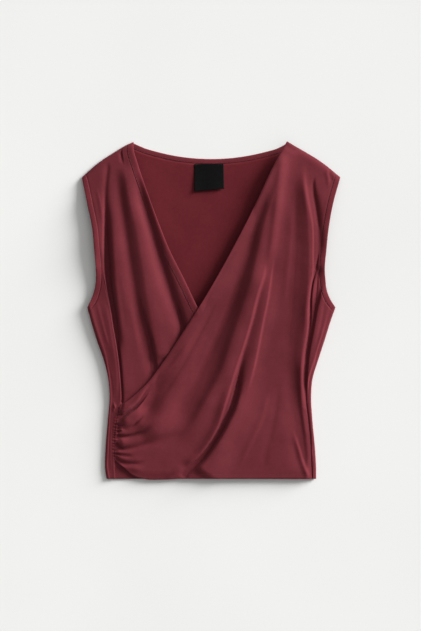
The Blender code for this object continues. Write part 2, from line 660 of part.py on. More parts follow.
def turned_side(side):
    """The strip's outer skin, from its contact with the surface round to the seam."""
    plan = side_patch(side)
    rise = roll_share(ROLL_COLUMNS)[1]
    half = roll_height(side, plan[:, 0, 1]) / 2
    skin = []
    for column in range(ROLL_COLUMNS, 0, -1):
        skin.append(with_height(plan[:, column], half - half * rise[column]))
    for column in range(ROLL_COLUMNS + 1):
        skin.append(with_height(plan[:, column], half + half * rise[column]))
    for column in range(ROLL_COLUMNS + 1, plan.shape[1]):
        skin.append(with_height(plan[:, column], strip_height(plan[:, column], side) + WALL))
    return np.stack(skin, axis=1)


def with_height(points, height):
    return np.column_stack([points, np.broadcast_to(height, len(points))])


def back_neck_line():
    """The top edge of the back, from one end of the neck to the other."""
    x = np.linspace(-BACK_NECK_HALF_WIDTH, BACK_NECK_HALF_WIDTH, 13)
    curve = np.column_stack([x, BACK_NECK_DEPTH_Y + BACK_NECK_SPREAD * x**2])
    left = LINES.beside_neck("left", BACK_NECK_INSET)
    right = LINES.beside_neck("right", BACK_NECK_INSET)
    return spline(np.vstack([left, curve, right]))


def binding_inner_line():
    line = shifted(back_neck_line(), -BINDING_WIDTH)
    left = LINES.beside_neck("left", BACK_NECK_INSET + BINDING_WIDTH)
    right = LINES.beside_neck("right", BACK_NECK_INSET + BINDING_WIDTH)
    inside = line[(line[:, 0] > left[0] + 8.0) & (line[:, 0] < right[0] - 8.0)]
    line = spline(np.vstack([left, inside[::3], right]))
    return at_fractions(line, np.linspace(0.0, 1.0, NECK_COLUMNS + 1))


def back_panel(material):
    sides = {side: turned_side(side) for side in SIDE_NAMES}
    borders = {}
    for side in SIDE_NAMES:
        below = sides[side][::-1, 0, :2]
        above = LINES.armhole_inner[side][: FRONT_ARMHOLE_ROWS + STRIP_COLUMNS][::-1]
        borders[side] = np.vstack([below, above])
    neck = binding_inner_line()
    left = shoulder_border(neck[0], borders["left"][-1], "left", SHOULDER_COLUMNS)[::-1]
    right = shoulder_border(neck[-1], borders["right"][-1], "right", SHOULDER_COLUMNS)
    top = np.vstack([left, neck[1:-1], right])
    share = np.linspace(0.0, 1.0, len(top))[:, None]
    hem = borders["left"][0] + (borders["right"][0] - borders["left"][0]) * share
    plan = coons(borders["left"], borders["right"], hem, top)
    rows, columns = plan.shape[:2]
    middle = np.arange(rows * columns).reshape(rows, columns)
    points = [with_height(plan.reshape(-1, 2), 0.0)]
    faces = grid_faces(middle)
    seam_edges = []
    underarm_rows = []
    count = rows * columns
    for side, column in (("left", 0), ("right", columns - 1)):
        turned = sides[side][::-1, 1:]
        index = np.arange(turned.shape[0] * turned.shape[1]).reshape(turned.shape[:2]) + count
        count += index.size
        seam_edges.append(index[:, -1])
        underarm_rows.append(index[-2:])
        index = np.column_stack([middle[: len(index), column], index])
        faces += grid_faces(index[:, ::-1] if side == "left" else index)
        points.append(turned.reshape(-1, 3))
    skin = np.vstack(points)
    faces = facing(skin, faces, -1.0)
    inwards = -point_normals(skin, faces)
    for below, end in underarm_rows:
        across = (skin[end] - skin[below]) * (1.0, 1.0, 0.0)
        inwards[end] = without(inwards[end], across)
    inwards[np.concatenate(seam_edges)] = (0.0, 0.0, -1.0)
    return build_wall("back_panel", skin, skin + inwards * WALL, faces, material)


def back_neck_binding(material):
    inner = shifted(binding_inner_line(), SEAM_GAP)
    outer = at_fractions(back_neck_line(), np.linspace(0.0, 1.0, NECK_COLUMNS + 1))
    inner[0] = LINES.beside_neck("left", BACK_NECK_INSET + BINDING_WIDTH - SEAM_GAP)
    inner[-1] = LINES.beside_neck("right", BACK_NECK_INSET + BINDING_WIDTH - SEAM_GAP)
    grid = np.stack([outer, (outer + inner) / 2, inner], axis=1)
    return height_field("back_neck_binding", grid, lambda points: np.zeros(len(points)), material)


def label(material):
    rows, columns = 5, 4
    x = LABEL_X + np.linspace(-0.5, 0.5, columns + 1) * LABEL_WIDTH
    y = LABEL_TOP_Y - np.linspace(0.0, 1.0, rows + 1) * LABEL_LENGTH
    grid = np.stack(np.meshgrid(x, y), axis=2)

    def height(points):
        down = (LABEL_TOP_Y - points[:, 1]) / LABEL_LENGTH
        return WALL + SEAM_GAP + LABEL_CURL * down**2

    return height_field("label", grid, height, material)


def armhole_band(side, material):
    """One strip from the front of the shoulder, round the side edge, to the back of the shoulder."""
    outer = LINES.armhole_outer[side]
    inner = shifted(LINES.armhole_inner[side], -SEAM_GAP if side == "left" else SEAM_GAP)
    inner[0] = LINES.on_shoulder(side, ARMHOLE_BAND_WIDTH - SEAM_GAP)
    inner[-1] = LINES.on_edge(side, ARMHOLE_BAND_WIDTH - SEAM_GAP)
    plan = np.stack([outer, (outer + inner) / 2, inner], axis=1)
    straight = len(plan) - ROLL_COLUMNS - 1
    flat = plan.reshape(-1, 2)
    field = under_height if side == "left" else over_height
    on_strip = smoothstep((SEAM_TOP_Y + STRIP_BLEND / 2 - flat[:, 1]) / STRIP_BLEND)
    top = blend_to(strip_height(flat, side), field(flat), on_strip) + WALL
    top = top.reshape(plan.shape[:2])
    half = roll_height(side, UNDERARM_Y) / 2
    rise = roll_share(ROLL_COLUMNS)[1][::-1]
    top[straight:] = half + half * rise[:, None]
    bottom = np.zeros_like(top)
    bottom[straight:] = half - half * rise[:, None]
    upper = np.concatenate([plan, top[:, :, None]], axis=2)
    lower = np.concatenate([plan, bottom[:, :, None]], axis=2)[::-1][1:]
    ring = np.concatenate([upper, lower], axis=0)
    skin = ring.reshape(-1, 3)
    faces = facing(skin, grid_faces(np.arange(len(skin)).reshape(-1, 3)), 1.0)
    inwards = -point_normals(skin, faces)
    across = ring[:, 2] - ring[:, 0]
    inwards[2::3] = without(inwards[2::3], across * (1.0, 1.0, 0.0))
    inwards[: straight * 3] = (0.0, 0.0, -1.0)
    inwards[-straight * 3 :] = (0.0, 0.0, 1.0)
    return build_wall("armhole_band_" + side, skin, skin + inwards * WALL, faces, material)


def cloth_material(name, colour):
    material = bpy.data.materials.new(name)
    material.use_nodes = True
    shader = material.node_tree.nodes["Principled BSDF"]
    shader.inputs["Base Color"].default_value = (*colour.rgb, 1.0)
    shader.inputs["Roughness"].default_value = colour.roughness
    shader.inputs["Metallic"].default_value = 0.0
    return material


def footprint_centre():
    """The middle of the top's outline, which becomes the origin."""
    outline = np.vstack(
        [LINES.edge[side] for side in ("left", "right")]
        + [LINES.armhole_outer[side] for side in ("left", "right")]
        + [LINES.shoulder[side] for side in ("left", "right")]
        + [LINES.drape_edge]
    )
    middle = (outline.min(axis=0) + outline.max(axis=0)) / 2
    return np.array([middle[0], middle[1], 0.0])


CENTRE = footprint_centre()


def main():
    for thing in list(bpy.data.objects):
        bpy.data.objects.remove(thing)
    collection = bpy.data.collections.new(COLLECTION)
    bpy.context.scene.collection.children.link(collection)
    crepe = cloth_material("crepe_burgundy", BURGUNDY)
    binding = cloth_material("crepe_binding", BINDING_BURGUNDY)
    woven = cloth_material("label_black", LABEL_BLACK)
    back_panel(crepe)
    front_under(crepe)
    front_over(crepe)
    neck_band(binding)
    back_neck_binding(binding)
    armhole_band("left", binding)
    armhole_band("right", binding)
    label(woven)


main()
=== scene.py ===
"""The looks of the wrap top: its cloth with every fold, its seams, stitches and label, and the studio.

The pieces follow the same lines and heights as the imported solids, with more folds and a finer grid.
Sizes are in millimetres here and are turned into metres where the meshes are made. X runs to the
viewer's right, Y from the hem to the neck, and Z up from the surface that the top lies on.
"""

import json
from collections import namedtuple

import bpy
import numpy as np
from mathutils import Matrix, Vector
from mathutils.bvhtree import BVHTree

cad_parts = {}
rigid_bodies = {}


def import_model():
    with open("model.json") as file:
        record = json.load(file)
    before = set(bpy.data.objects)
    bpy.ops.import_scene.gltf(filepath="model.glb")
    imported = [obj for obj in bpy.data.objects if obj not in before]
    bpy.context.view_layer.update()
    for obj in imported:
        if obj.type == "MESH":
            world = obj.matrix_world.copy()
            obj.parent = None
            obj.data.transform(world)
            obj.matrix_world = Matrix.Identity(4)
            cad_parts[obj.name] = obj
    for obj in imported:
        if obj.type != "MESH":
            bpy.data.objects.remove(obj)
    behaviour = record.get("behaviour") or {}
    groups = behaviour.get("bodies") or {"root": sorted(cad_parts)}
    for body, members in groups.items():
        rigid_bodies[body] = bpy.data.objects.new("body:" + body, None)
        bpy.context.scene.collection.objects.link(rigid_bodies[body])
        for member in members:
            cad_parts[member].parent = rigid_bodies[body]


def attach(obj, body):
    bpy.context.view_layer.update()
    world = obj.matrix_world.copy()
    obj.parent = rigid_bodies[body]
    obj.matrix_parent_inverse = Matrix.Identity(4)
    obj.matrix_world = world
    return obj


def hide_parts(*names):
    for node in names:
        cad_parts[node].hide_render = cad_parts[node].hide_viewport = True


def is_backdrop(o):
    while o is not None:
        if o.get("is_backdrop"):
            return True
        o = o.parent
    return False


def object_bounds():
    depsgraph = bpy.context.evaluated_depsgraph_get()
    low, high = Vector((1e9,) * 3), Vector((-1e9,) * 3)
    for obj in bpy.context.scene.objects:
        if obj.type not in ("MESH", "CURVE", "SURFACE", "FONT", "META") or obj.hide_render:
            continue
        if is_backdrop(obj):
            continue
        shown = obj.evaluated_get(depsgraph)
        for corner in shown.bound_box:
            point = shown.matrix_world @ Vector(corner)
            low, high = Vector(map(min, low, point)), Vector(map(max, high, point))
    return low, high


for thing in list(bpy.data.objects):
    bpy.data.objects.remove(thing)
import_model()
CAD_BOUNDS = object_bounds()

MM = 0.001

# Cloth and seams.
WALL = 1.2
STEEPEST_WALL = 1.5
SEAM_GAP = 0.3
LAYER_GAP = 0.7

# Widths of the strips that finish the edges.
NECK_BAND_WIDTH = 11.0
ARMHOLE_BAND_WIDTH = 8.5
BINDING_WIDTH = 8.0

# The body of the top.
HEM_Y = -268.5
UNDERARM_Y = 5.0
SEAM_TOP_Y = 64.0
UNDERLAP_SEAM_Y = -191.0
OVERLAP_SEAM_Y = -152.5
GATHER_END_Y = -239.0
ROLL_DEPTH = 4.5
ROLL_PATH = 6.7
STRIP_FULL_WIDTH = 34.0
STRIP_BLEND = 30.0
NECK_BAND_END = 14.0
SIDE_NAMES = ("left", "right")

# Heights of the fronts' lower skins, and how far from an edge they are reached.
UNDER_FLOOR = WALL + 0.5
OVER_FLOOR = UNDER_FLOOR + WALL + LAYER_GAP
UNDER_BASE = 5.0
OVER_BASE = 6.5
CHEST_LIFT = {"left": 6.5, "right": 3.5}
CHEST_START_Y = -100.0
CHEST_RISE = 140.0
CHEST_FROM_SHOULDER = 55.0
SHOULDER_HEIGHT = WALL + 0.6
SHOULDER_ROUNDING = 9.0
SEAM_ROUNDING = {"left": 8.0, "right": 9.0}
SEAM_SHARE = 0.15
UNDER_SEAM_ROUNDING = 2.0
UNDER_SEAM_BLEND = 60.0
COVERED_SLOPE = 36.0
COVERED_START = 2.0
V_EDGE_LIFT = {"left": 1.6, "right": 2.8}
V_EDGE_LIFT_WIDTH = {"left": 13.0, "right": 18.0}
DRAPE_ROUNDING = 14.0
DRAPE_SHARE = 0.5
OVER_COVER_START = 40.0
OVER_COVER_BLEND = 20.0
OVER_COVER_RISE = 40.0

# The cloth here is thinner than the solids' wall, and its edges are rounded. Its seams are pressed in.
CLOTH = 0.8
RIM_BULGE = 0.3
SEAM_GROOVE = -0.7
SEAM_GROOVE_WIDTH = 1.3
RIGHT_SEAM_GROOVE = -0.4
BAND_GROOVE = -0.25
SEAM_LIP = 10.0
EDGE_ROLL = -1.1
EDGE_ROLL_WIDTH = 1.5
STRIP_FADE = 3.0

# How finely lines are drawn, how far folds and grooves reach, and how far the slow waves wander.
SPLINE_STEP = 4.0
LINE_SAMPLES = 200
FOLD_REACH = 2.8
GROOVE_REACH = 4
WAVE_BEND = 1.7
STRIP_UNEVENNESS = 0.7

# How far a line that is drawn beside another keeps clear of its own ends, and how few points it keeps.
ARMHOLE_MARGINS = (8.0, 10.0)
BAND_MARGINS = (8.0, 12.0)
BINDING_MARGIN = 8.0
KEEP_EVERY = 3
KEEP_EVERY_ON_BAND = 4

# The hem is turned up and stitched this far above the edge.
HEM_TURN = 7.2
HEM_GROOVE = -0.18
HEM_GROOVE_WIDTH = 0.9
HEM_RISE = 0.1
HEM_BLEND = 2.0
LEVEL_HEM_X = -60.0
LEVEL_HEM_BLEND = 20.0


def detail(full):
    return full


# Rows and columns of the grids. A side seam has rows to the overlap, to the end of the gathers, to the hem.
FRONT_ARMHOLE_ROWS = detail(44)
SEAM_ROWS = (detail(60), detail(76), detail(12))
ROLL_COLUMNS = detail(8)
STRIP_COLUMNS = detail(20)
UNDERLAP_HEM_ROWS = detail(30)
NECK_BAND_ROWS = FRONT_ARMHOLE_ROWS + sum(SEAM_ROWS) - UNDERLAP_HEM_ROWS
BAND_COLUMNS = detail(10)
UNDER_COLUMNS = detail(180)
UNDER_SPREAD = 1.35
V_EDGE_SPREAD = 1.35
DRAPE_COLUMNS = detail(36)
HEM_COLUMNS = detail(110)
NECK_COLUMNS = detail(96)
SHOULDER_COLUMNS = detail(12)
LABEL_ROWS, LABEL_COLUMNS = detail(40), detail(36)

Colour = namedtuple("Colour", "deep base light")
BURGUNDY = Colour((0.125, 0.0208, 0.0272), (0.140, 0.0242, 0.0316), (0.155, 0.0280, 0.0364))
# The linings' colour is a darker copy of the cloth. It is partly the duller wrong side, and partly painted
# shade for the inside of the V.
SHADED_INSIDE_BURGUNDY = Colour((0.113, 0.0148, 0.0200), (0.128, 0.0176, 0.0232), (0.143, 0.0206, 0.0266))
# The strips' colour is a little brighter than the body's cloth. This is partly for the doubled cloth, and
# partly painted light.
LIT_BINDING_BURGUNDY = Colour((0.131, 0.0208, 0.0274), (0.147, 0.0242, 0.0318), (0.163, 0.0280, 0.0366))
LABEL_BLACK = Colour((0.0022, 0.0022, 0.0024), (0.0032, 0.0032, 0.0034), (0.0044, 0.0044, 0.0047))
THREAD = Colour((0.100, 0.0110, 0.0170), (0.118, 0.0135, 0.0200), (0.136, 0.0165, 0.0236))

# Strips, back, label and stitches. A stitch's sink, rise and longest span are shares of its own sizes.
BAND_CROWN = 0.3
BINDING_CROWN = 0.5
BACK_UNEVENNESS = 0.8
BACK_WAVE_LIMITS = (-0.2, 0.28)
BACK_NECK_STATIONS = 13
LABEL_CORNERS = ((-27.0, 234.2), (19.3, 235.0), (-26.8, 190.8), (20.2, 195.0))
LABEL_THICKNESS = 0.45
LABEL_GAP = 0.6
LABEL_CURL = 2.2
LABEL_WAVE = 0.35
LABEL_WAVE_LENGTH = 7.0
LABEL_WAVE_START = 0.8
STITCH_PITCH = 3.2
STITCH_SHARE = 0.8
STITCH_INSET = 1.4
LONGEST_STITCH = 1.6
THREAD_RADIUS = 0.15
THREAD_SIDES = 6
THREAD_SINK = 0.6
THREAD_RISE = 0.35
THREAD_SHOULDER = 0.2
RAY_START = 0.1

# Where the stitches run: from and to which x, or how much of a seam.
OVER_HEM_STITCHES = (-44.0, 158.0)
UNDER_HEM_STITCHES = (-152.0, -144.0)
STRIP_HEM_STITCHES = {"left": (-164.0, -156.0), "right": (161.5, 165.0)}
LABEL_STITCHES = {"left": (-26.0, -20.0), "right": (12.0, 18.0)}
LABEL_STITCH_Y = 233.0
LABEL_STITCH_PITCH = 1.6
BAND_STITCHED = 0.56
ARMHOLE_STITCHED = 0.93

# The patterns of the materials. A noise has its scale, its detail and its roughness, the others a scale.
CLOUD = (16.0, 2.0)
MOTTLE = (190.0, 3.0, 0.6)
PEBBLE = (1250.0, 2.0, 0.6)
LABEL_MOTTLE = (260.0, 2.0)
FLOOR_CLOUD = (2.5, 2.0)
THREADS_ACROSS = 330.0
THREADS_ALONG = 420.0
THREAD_DISTORTION = 1.4
LABEL_RIBS = 560.0
PLIES = 900.0

# How much of each pattern goes into the dye and into the grain, and what the shaders get.
DYE_SHARES = (0.45, 0.35, 0.20)
GRAIN_SHARES = (0.65, 0.35)
CREPE_BUMP = (0.35, 0.00012)
LABEL_BUMP = (0.3, 0.0001)
THREAD_BUMP = (0.4, 0.00005)
CREPE_ROUGHNESS = (0.54, 0.66)
LABEL_ROUGHNESS = (0.42, 0.52)
PATTERN_SPAN = (0.3, 0.7)
RAMP_SPAN = (0.32, 0.68)
CREPE_SHADER = {
    "Specular IOR Level": 0.015,
    "Sheen Weight": 0.11,
    "Sheen Roughness": 0.45,
    "Sheen Tint": (1.0, 0.55, 0.62, 1.0),
}
LABEL_SHADER = {"Specular IOR Level": 0.08}
THREAD_SHADER = {"Roughness": 0.5, "Sheen Weight": 0.2}
FLOOR_SHADER = {"Roughness": 1.0, "Specular IOR Level": 0.0}

# The light, the floor and the camera, in metres, degrees and watts.
PIXEL = 0.0016
PICTURE_WIDTH, PICTURE_HEIGHT = 421, 631
CENTRE_PIXEL_X = 211.05
AIM_PIXEL_Y = 310.75
CAMERA_HEIGHT = 3.0
SENSOR_HEIGHT = 24.0
SUN_STRENGTH = 6.85
SUN_ANGLE = 30.0
SUN_ELEVATION = 16.0
SUN_AZIMUTH = 32.0
SKY_STRENGTH = 0.40
SKY_TILT = 0.8
HAZE_STRENGTH = 0.78
HAZE_TOP = (0.12, 0.2)
FLOOR_SIZE = 12.0
FLOOR_DROP = -0.0002
FLOOR_COLOUR = (0.87, 0.87, 0.856)
FLOOR_TONES = (0.985, 1.0, 1.01)

# The outline. Each row is one level, and the columns are the x of each edge there.
Level = namedtuple("Level", "y left right")
ARMHOLES = (
    Level(213, -206.6, 205.8),
    Level(169, -197.3, 193.6),
    Level(129, -189.2, 186.6),
    Level(97, -186.3, 183.3),
    Level(65, -183.8, 180.8),
    Level(49, -183.8, 182),
    Level(33, -186.3, 183.9),
    Level(17, -191.8, 190.2),
    Level(UNDERARM_Y, -198, 198.4),
)
SIDES = (
    Level(UNDERARM_Y, -198, 198.4),
    Level(-15, -192.7, 191.2),
    Level(-47, -183, 181.2),
    Level(-79, -171.8, 170.8),
    Level(-111, -164.4, 161.4),
    Level(-135, -162.6, 159.6),
    Level(-175, -165.4, 161.6),
    Level(-223, -169.2, 166),
    Level(-255, -169.6, 167.6),
    Level(HEM_Y, -167.4, 167.6),
)

# How high the rounded side edges stand.
Roll = namedtuple("Roll", "y left right")
ROLLS = (
    Roll(UNDERARM_Y, 9.6, 6.6),
    Roll(-14, 9.6, 6.6),
    Roll(-40, 9.2, 6.2),
    Roll(-90, 7.8, 5.8),
    Roll(-140, 6.4, 5.4),
    Roll(HEM_Y, 5, 5),
)
# How much the turned side strips bulge between their edge and the seam.
STRIP_BULGE = {"left": -0.9, "right": 1.0}

# The side seams, with the height of the lower skin along them.
Seam = namedtuple("Seam", "y left left_height right right_height")
SIDE_SEAMS = (
    Seam(SEAM_TOP_Y, -174.4, 7.6, 170, 6),
    Seam(41, -170.4, 8, 168.6, 6),
    Seam(4, -162, 8.4, 165.2, 5.8),
    Seam(-31, -156.4, 8.4, 160.4, 5.4),
    Seam(-63, -151, 8, 154.4, 5),
    Seam(-103, -146.6, 6.8, 150.8, 4.4),
    Seam(OVERLAP_SEAM_Y, -145.8, 5.8, 151.9, 4),
    Seam(-175, -151.6, 5.5, 154.8, 3.8),
    Seam(-207, -154.6, 5.1, 158, 3.6),
    Seam(GATHER_END_Y, -154.8, 4.5, 159.6, 3.6),
    Seam(HEM_Y, -153.4, 3.7, 160.6, 3.6),
)

# Lines across the top, each from the neck outwards or from left to right.
SHOULDER_LEFT = ((-124.4, 269.5), (-135.1, 264.9), (-151.1, 255.3), (-180.2, 236.1), (-206.6, 213))
SHOULDER_RIGHT = ((120.6, 269.5), (128.6, 264.9), (146.5, 255.3), (177.4, 236.1), (205.8, 213))
BACK_NECK_DEPTH_Y = 242.3
BACK_NECK_SPREAD = 0.00152
BACK_NECK_HALF_WIDTH = 106.0
BACK_NECK_INSET = 2.5

# The V edges, from the neck to the side seam that each front is sewn into.
V_UNDER = (
    (-124.4, 269.5), (-124, 256), (-119.6, 240.9), (-103.6, 192.9), (-86, 144.9), (-66.8, 96.9),
    (-42.8, 48.9), (-22.2, 5.7), (10, -48), (60, -112), (115, -162), (156.2, UNDERLAP_SEAM_Y),
)
V_OVER = (
    (120.6, 269.5), (96.4, 224.9), (74, 176.9), (50, 128.9), (24.4, 80.9), (-2.8, 32.9),
    (-46, -36), (-86, -95), (-98, -111), (-115.6, -129), (-131, -142), (-145.65, OVERLAP_SEAM_Y),
)
# The overlap's lower edge, from the end of the gathers to the level hem.
DRAPE_EDGE = (
    (-154.65, GATHER_END_Y), (-140.2, -249.8), (-125.7, -262.5), (-108, -268.3), (-78, -269.4),
    (-48.4, HEM_Y + 0.6),
)

# The folds. A fold follows its path, rises by so much, and has a half-width on each side of it.
# It fades in and out over the given lengths. Looking along the path, left is on the left hand.
Fold = namedtuple("Fold", "rise left right fade_in fade_out path")
FOLDS_UNDER = {
    "slit_beside_seam": Fold(-14, 7, 3, 120, 60, ((-169.5, 200), (-168.5, 129), (-168, 80), (-167, 57),
        (-164, 30), (-160, 2), (-157.5, -20), (-153, -47), (-150, -75))),
    "slit_at_waist": Fold(-12, 3, 2, 60, 4, ((-161, 10), (-157.5, -20), (-153, -47), (-150, -66),
        (-147.4, -90), (-145.8, -111), (-144.4, -149))),
    "ridge_by_slit": Fold(1.1, 17, 6, 70, 10, ((-162, 196), (-157.4, 129), (-150.8, 57), (-146.4, -15),
        (-141.6, -87), (-139, -135))),
    "hollow_mid": Fold(-2.7, 7, 9, 40, 8, ((-146, 226), (-144.4, 193), (-137, 129), (-126, 57), (-114, -15),
        (-97, -87), (-91, -108))),
    "ridge_mid": Fold(3.2, 20, 10, 30, 10, ((-139, 238), (-132.4, 193), (-118, 129), (-106, 57), (-94.4, -15),
        (-80, -80))),
    "hollow_by_band": Fold(-6, 7, 12, 60, 8, ((-122, 226), (-112.6, 193), (-94, 129), (-73, 57), (-49, -15),
        (-38, -46))),
}
FOLDS_OVER = {
    "drape_crest": Fold(5.3, 18, 9, 70, 90, ((114, 236), (102, 190), (86.6, 141.7), (76, 94), (64.2, 45.7),
        (49, -2), (33, -50), (17.2, -98), (-8.4, -146), (-34, -190), (-56, -216))),
    "hollow_by_v_edge": Fold(-2, 14, 12, 80, 40, ((80, 190), (56, 94), (32.4, 20), (4, -46), (-34.8, -130),
        (-66, -180))),
    "puff_by_gathers": Fold(2.2, 32, 9, 20, 20, ((-126, -146), (-132, -166), (-138, -190), (-139, -214),
        (-134, -240))),
    "second_crest": Fold(4.4, 24, 18, 110, 30, ((-10, 4), (-38.8, -66), (-64.4, -130), (-91.6, -178),
        (-118, -200))),
    "deep_valley": Fold(-12, 5, 3, 130, 6, ((57, -52), (47.6, -87), (37, -137), (30, -159), (20, -178),
        (10, -197.5), (-2.6, -216.7), (-18, -236), (-40, -255), (-48, -266))),
    "crest_past_valley": Fold(2.6, 14, 15, 50, 40, ((96, 70), (83, -2), (74, -40), (63, -87), (48, -132),
        (31, -172), (12, -208), (-10, -240))),
    "lower_crest": Fold(5.4, 30, 10, 110, 16, ((64.4, -80), (51, -130), (33.6, -175), (5, -223),
        (-22, -264))),
    "hollow_upper": Fold(-0.5, 5, 14, 50, 50, ((134, 220), (134, 130), (131, 57), (126, -15), (119, -82))),
    "hollow_lower": Fold(-3.2, 7.5, 19, 70, 30, ((128, -60), (134.8, -114), (140, -170), (147, -225),
        (150, -262))),
    "side_ridge": Fold(2.6, 5.5, 10.5, 60, 190, ((143, 236), (147, 193), (153, 129), (153.4, 57), (148, -15),
        (142, -87), (143, -140), (150, -240))),
    "armhole_crease": Fold(-2.6, 5, 6, 40, 40, ((156, 216), (162, 193), (170, 150), (173, 108), (170, 76))),
    "v_edge_at_neck": Fold(4.6, 15, 9, 7, 110, ((119, 265), (96.4, 224.9), (74, 176.9), (50, 128.9))),
    "drape_bulk": Fold(2.9, 32, 12, 56, 44, ((-134, -211), (-113, -204.5), (-98, -199.6), (-78.8, -193.5),
        (-60, -188.5), (-38, -183))),
}

# A gather is a short fold with the same half-width on both sides, which fades out over one length.
Gather = namedtuple("Gather", "rise half_width path")
GATHER_FADE = 14.0

# The lip of the left armhole, which the underlap shares with the side strip below it.
ARMHOLE_LIP = Fold(1.8, 9, 9, 50, 30, ((-188, 160), (-186, 110), (-184, 70), (-184, 48), (-188, 26)))

# Fine folds of the underlap that the solids leave out, in the same terms as the folds above.
FINE_UNDER = (
    # The pleat at the shoulder seam, and the small one beside it.
    Fold(-2.2, 1.3, 3.2, 1, 16, ((-143.5, 255), (-142.8, 248), (-141.8, 240), (-140.4, 232))),
    Fold(-1.5, 3, 5, 14, 60, ((-163, 238), (-165.5, 222), (-168, 190), (-168, 130))),
    # The bright edge of the middle ridge, and the hollow below it.
    Fold(0.3, 4, 8, 40, 20, ((-137.5, 238), (-122, 190), (-110.5, 142), (-94.5, 102), (-76, 57), (-64, 0),
        (-52, -36))),
    Fold(-4.4, 1.4, 3.4, 24, 2, ((-54, 14), (-48.5, -12), (-45, -36))),
    # The soft crevice left of the ridge.
    Fold(-5.6, 2.8, 6, 90, 3, ((-118, 30), (-108.5, -6), (-96.5, -47), (-91.4, -80), (-89, -95))),
    # The dark slit beside the side strip.
    Fold(-7, 5, 2.6, 60, 40, ((-166, 110), (-165.5, 60), (-162, 25), (-157, -5), (-153, -35), (-149.5, -60))),
    Fold(-9, 1.4, 1, 60, 3, ((-157.5, -10), (-151, -55), (-146.8, -90), (-144.2, -149))),
    # The cloth sinks to the side strip below the armhole.
    Fold(-3.4, 10, 11, 30, 24, ((-177, 104), (-174.4, 72), (-170, 40))),
    ARMHOLE_LIP,
    # Drag lines from the strip, and soft dents.
    Fold(0.35, 2, 3, 14, 26, ((-183, 196), (-177, 170), (-172, 130))),
    Fold(-0.5, 5, 6, 20, 40, ((-150, 60), (-143, 10), (-136, -40))),
    Fold(0.45, 4, 5, 20, 30, ((-131, 20), (-122, -30), (-112, -70))),
)

# Fine folds of the overlap.
FINE_OVER = (
    # The sharp crest that runs down to the hem, and the thin one beside it.
    Fold(4.2, 3.1, 22, 40, 90, ((85, 80), (82, 57), (75, 36), (69.5, 16), (62, -15), (50, -55), (38, -91),
        (20.5, -150), (9.5, -184))),
    Fold(2.6, 2.6, 8, 70, 20, ((38, -91), (20.5, -150), (9.5, -184), (-4, -209), (-19.5, -230), (-33, -242),
        (-46, -252))),
    Fold(1.2, 5, 3, 4, 14, ((-70, -270), (-62, -263), (-48, -251), (-40, -246))),
    Fold(2.3, 2.4, 20, 60, 60, ((99, 92), (94, 57), (88, 17), (81.5, -15), (74, -55), (67.5, -87),
        (53, -140))),
    # The crest below the neck point.
    Fold(2.4, 8, 6.5, 20, 60, ((114, 252), (109, 207), (103, 155), (96, 102), (88, 57))),
    # The valley beside the sharp crest.
    Fold(-6, 2.8, 2.4, 60, 8, ((48, -108), (38.6, -140), (32, -159), (25.8, -168.7), (19.4, -186),
        (12.2, -197.5), (-0.6, -216.7), (-15.8, -236), (-38, -255), (-45, -265))),
    # The light line at the hem.
    Fold(0.9, 1.4, 2, 5, 8, ((-52, -267), (-42, -258), (-33, -250))),
    # The flat foot of the drape's flank.
    Fold(-1, 5, 8, 40, 40, ((88, 193), (82, 161), (70, 129), (63, 97), (50, 57), (37, 17), (24, -15),
        (5, -55), (-10, -87))),
    # The ridge along the right side, its dark slit and the creases at the armhole and the shoulder.
    Fold(1.9, 1.8, 5.5, 60, 20, ((147, 236), (148.5, 201), (153, 174), (159.5, 138), (160.5, 94), (160, 57),
        (156.5, 25), (153.5, 6), (153, -29), (150.5, -63), (145.5, -93), (145.5, -120), (149.5, -148),
        (152.5, -166))),
    Fold(-5, 1.6, 3, 60, 20, ((172, 104), (167.5, 66), (161.5, 42), (159, 20), (158.8, 0), (157.5, -29),
        (153.5, -58), (149.5, -84))),
    Fold(-1.3, 1.6, 3.2, 12, 14, ((163, 214), (164.5, 190), (167.5, 172), (171, 145), (173, 128))),
    Fold(-1, 1.4, 2.6, 4, 6, ((187, 223), (191, 214), (195.5, 204))),
    Fold(0.7, 1.6, 3, 6, 10, ((183, 226), (186, 214), (187, 196))),
    # The crossed lines above the right corner of the hem.
    Fold(1.6, 1.6, 3, 6, 8, ((150.5, -152), (154.5, -168), (158, -184))),
    Fold(1.9, 1.7, 4.5, 46, 5, ((128, -186), (132, -198), (136.5, -211), (141, -225), (144.5, -238),
        (149, -251), (156, -266))),
    Fold(-0.4, 2, 4, 20, 20, ((141, -150), (146, -185), (151, -214))),
    # Soft drag lines over the chest and the waist.
    Fold(0.5, 4, 6, 40, 40, ((128, 180), (126, 120), (121, 60), (114, 0))),
    Fold(0.5, 3.5, 6, 40, 30, ((40, 60), (14, -10), (-16, -80), (-44, -136))),
    Fold(-0.7, 4, 6, 30, 40, ((10, 20), (-24, -46), (-62, -112), (-90, -150))),
    Fold(0.5, 3, 5, 20, 30, ((-92, -108), (-76, -100), (-50, -70), (-30, -40))),
    Fold(0.6, 4, 6, 30, 20, ((92, -120), (80, -170), (60, -215), (44, -250))),
    Fold(-0.5, 5, 7, 30, 20, ((108, -110), (102, -160), (90, -215), (80, -255))),
)

# The gathers of the overlap: creases that start at the left side seam.
GATHER_CREASES = (
    Gather(-3, 1.5, ((-151.5, -184), (-144, -184), (-135, -182))),
    Gather(-2.6, 1.4, ((-152, -188.5), (-145, -188.5), (-138, -187))),
    Gather(-3.2, 1.6, ((-152, -193.5), (-144, -193), (-136, -192))),
    Gather(-3.2, 1.5, ((-153, -203.5), (-148, -206), (-144, -210))),
    Gather(-2.6, 1.5, ((-155.5, -221.5), (-150, -223.5), (-145, -225))),
    Gather(-3, 1.8, ((-154, -228), (-146, -230), (-136, -231), (-124, -230.5))),
)
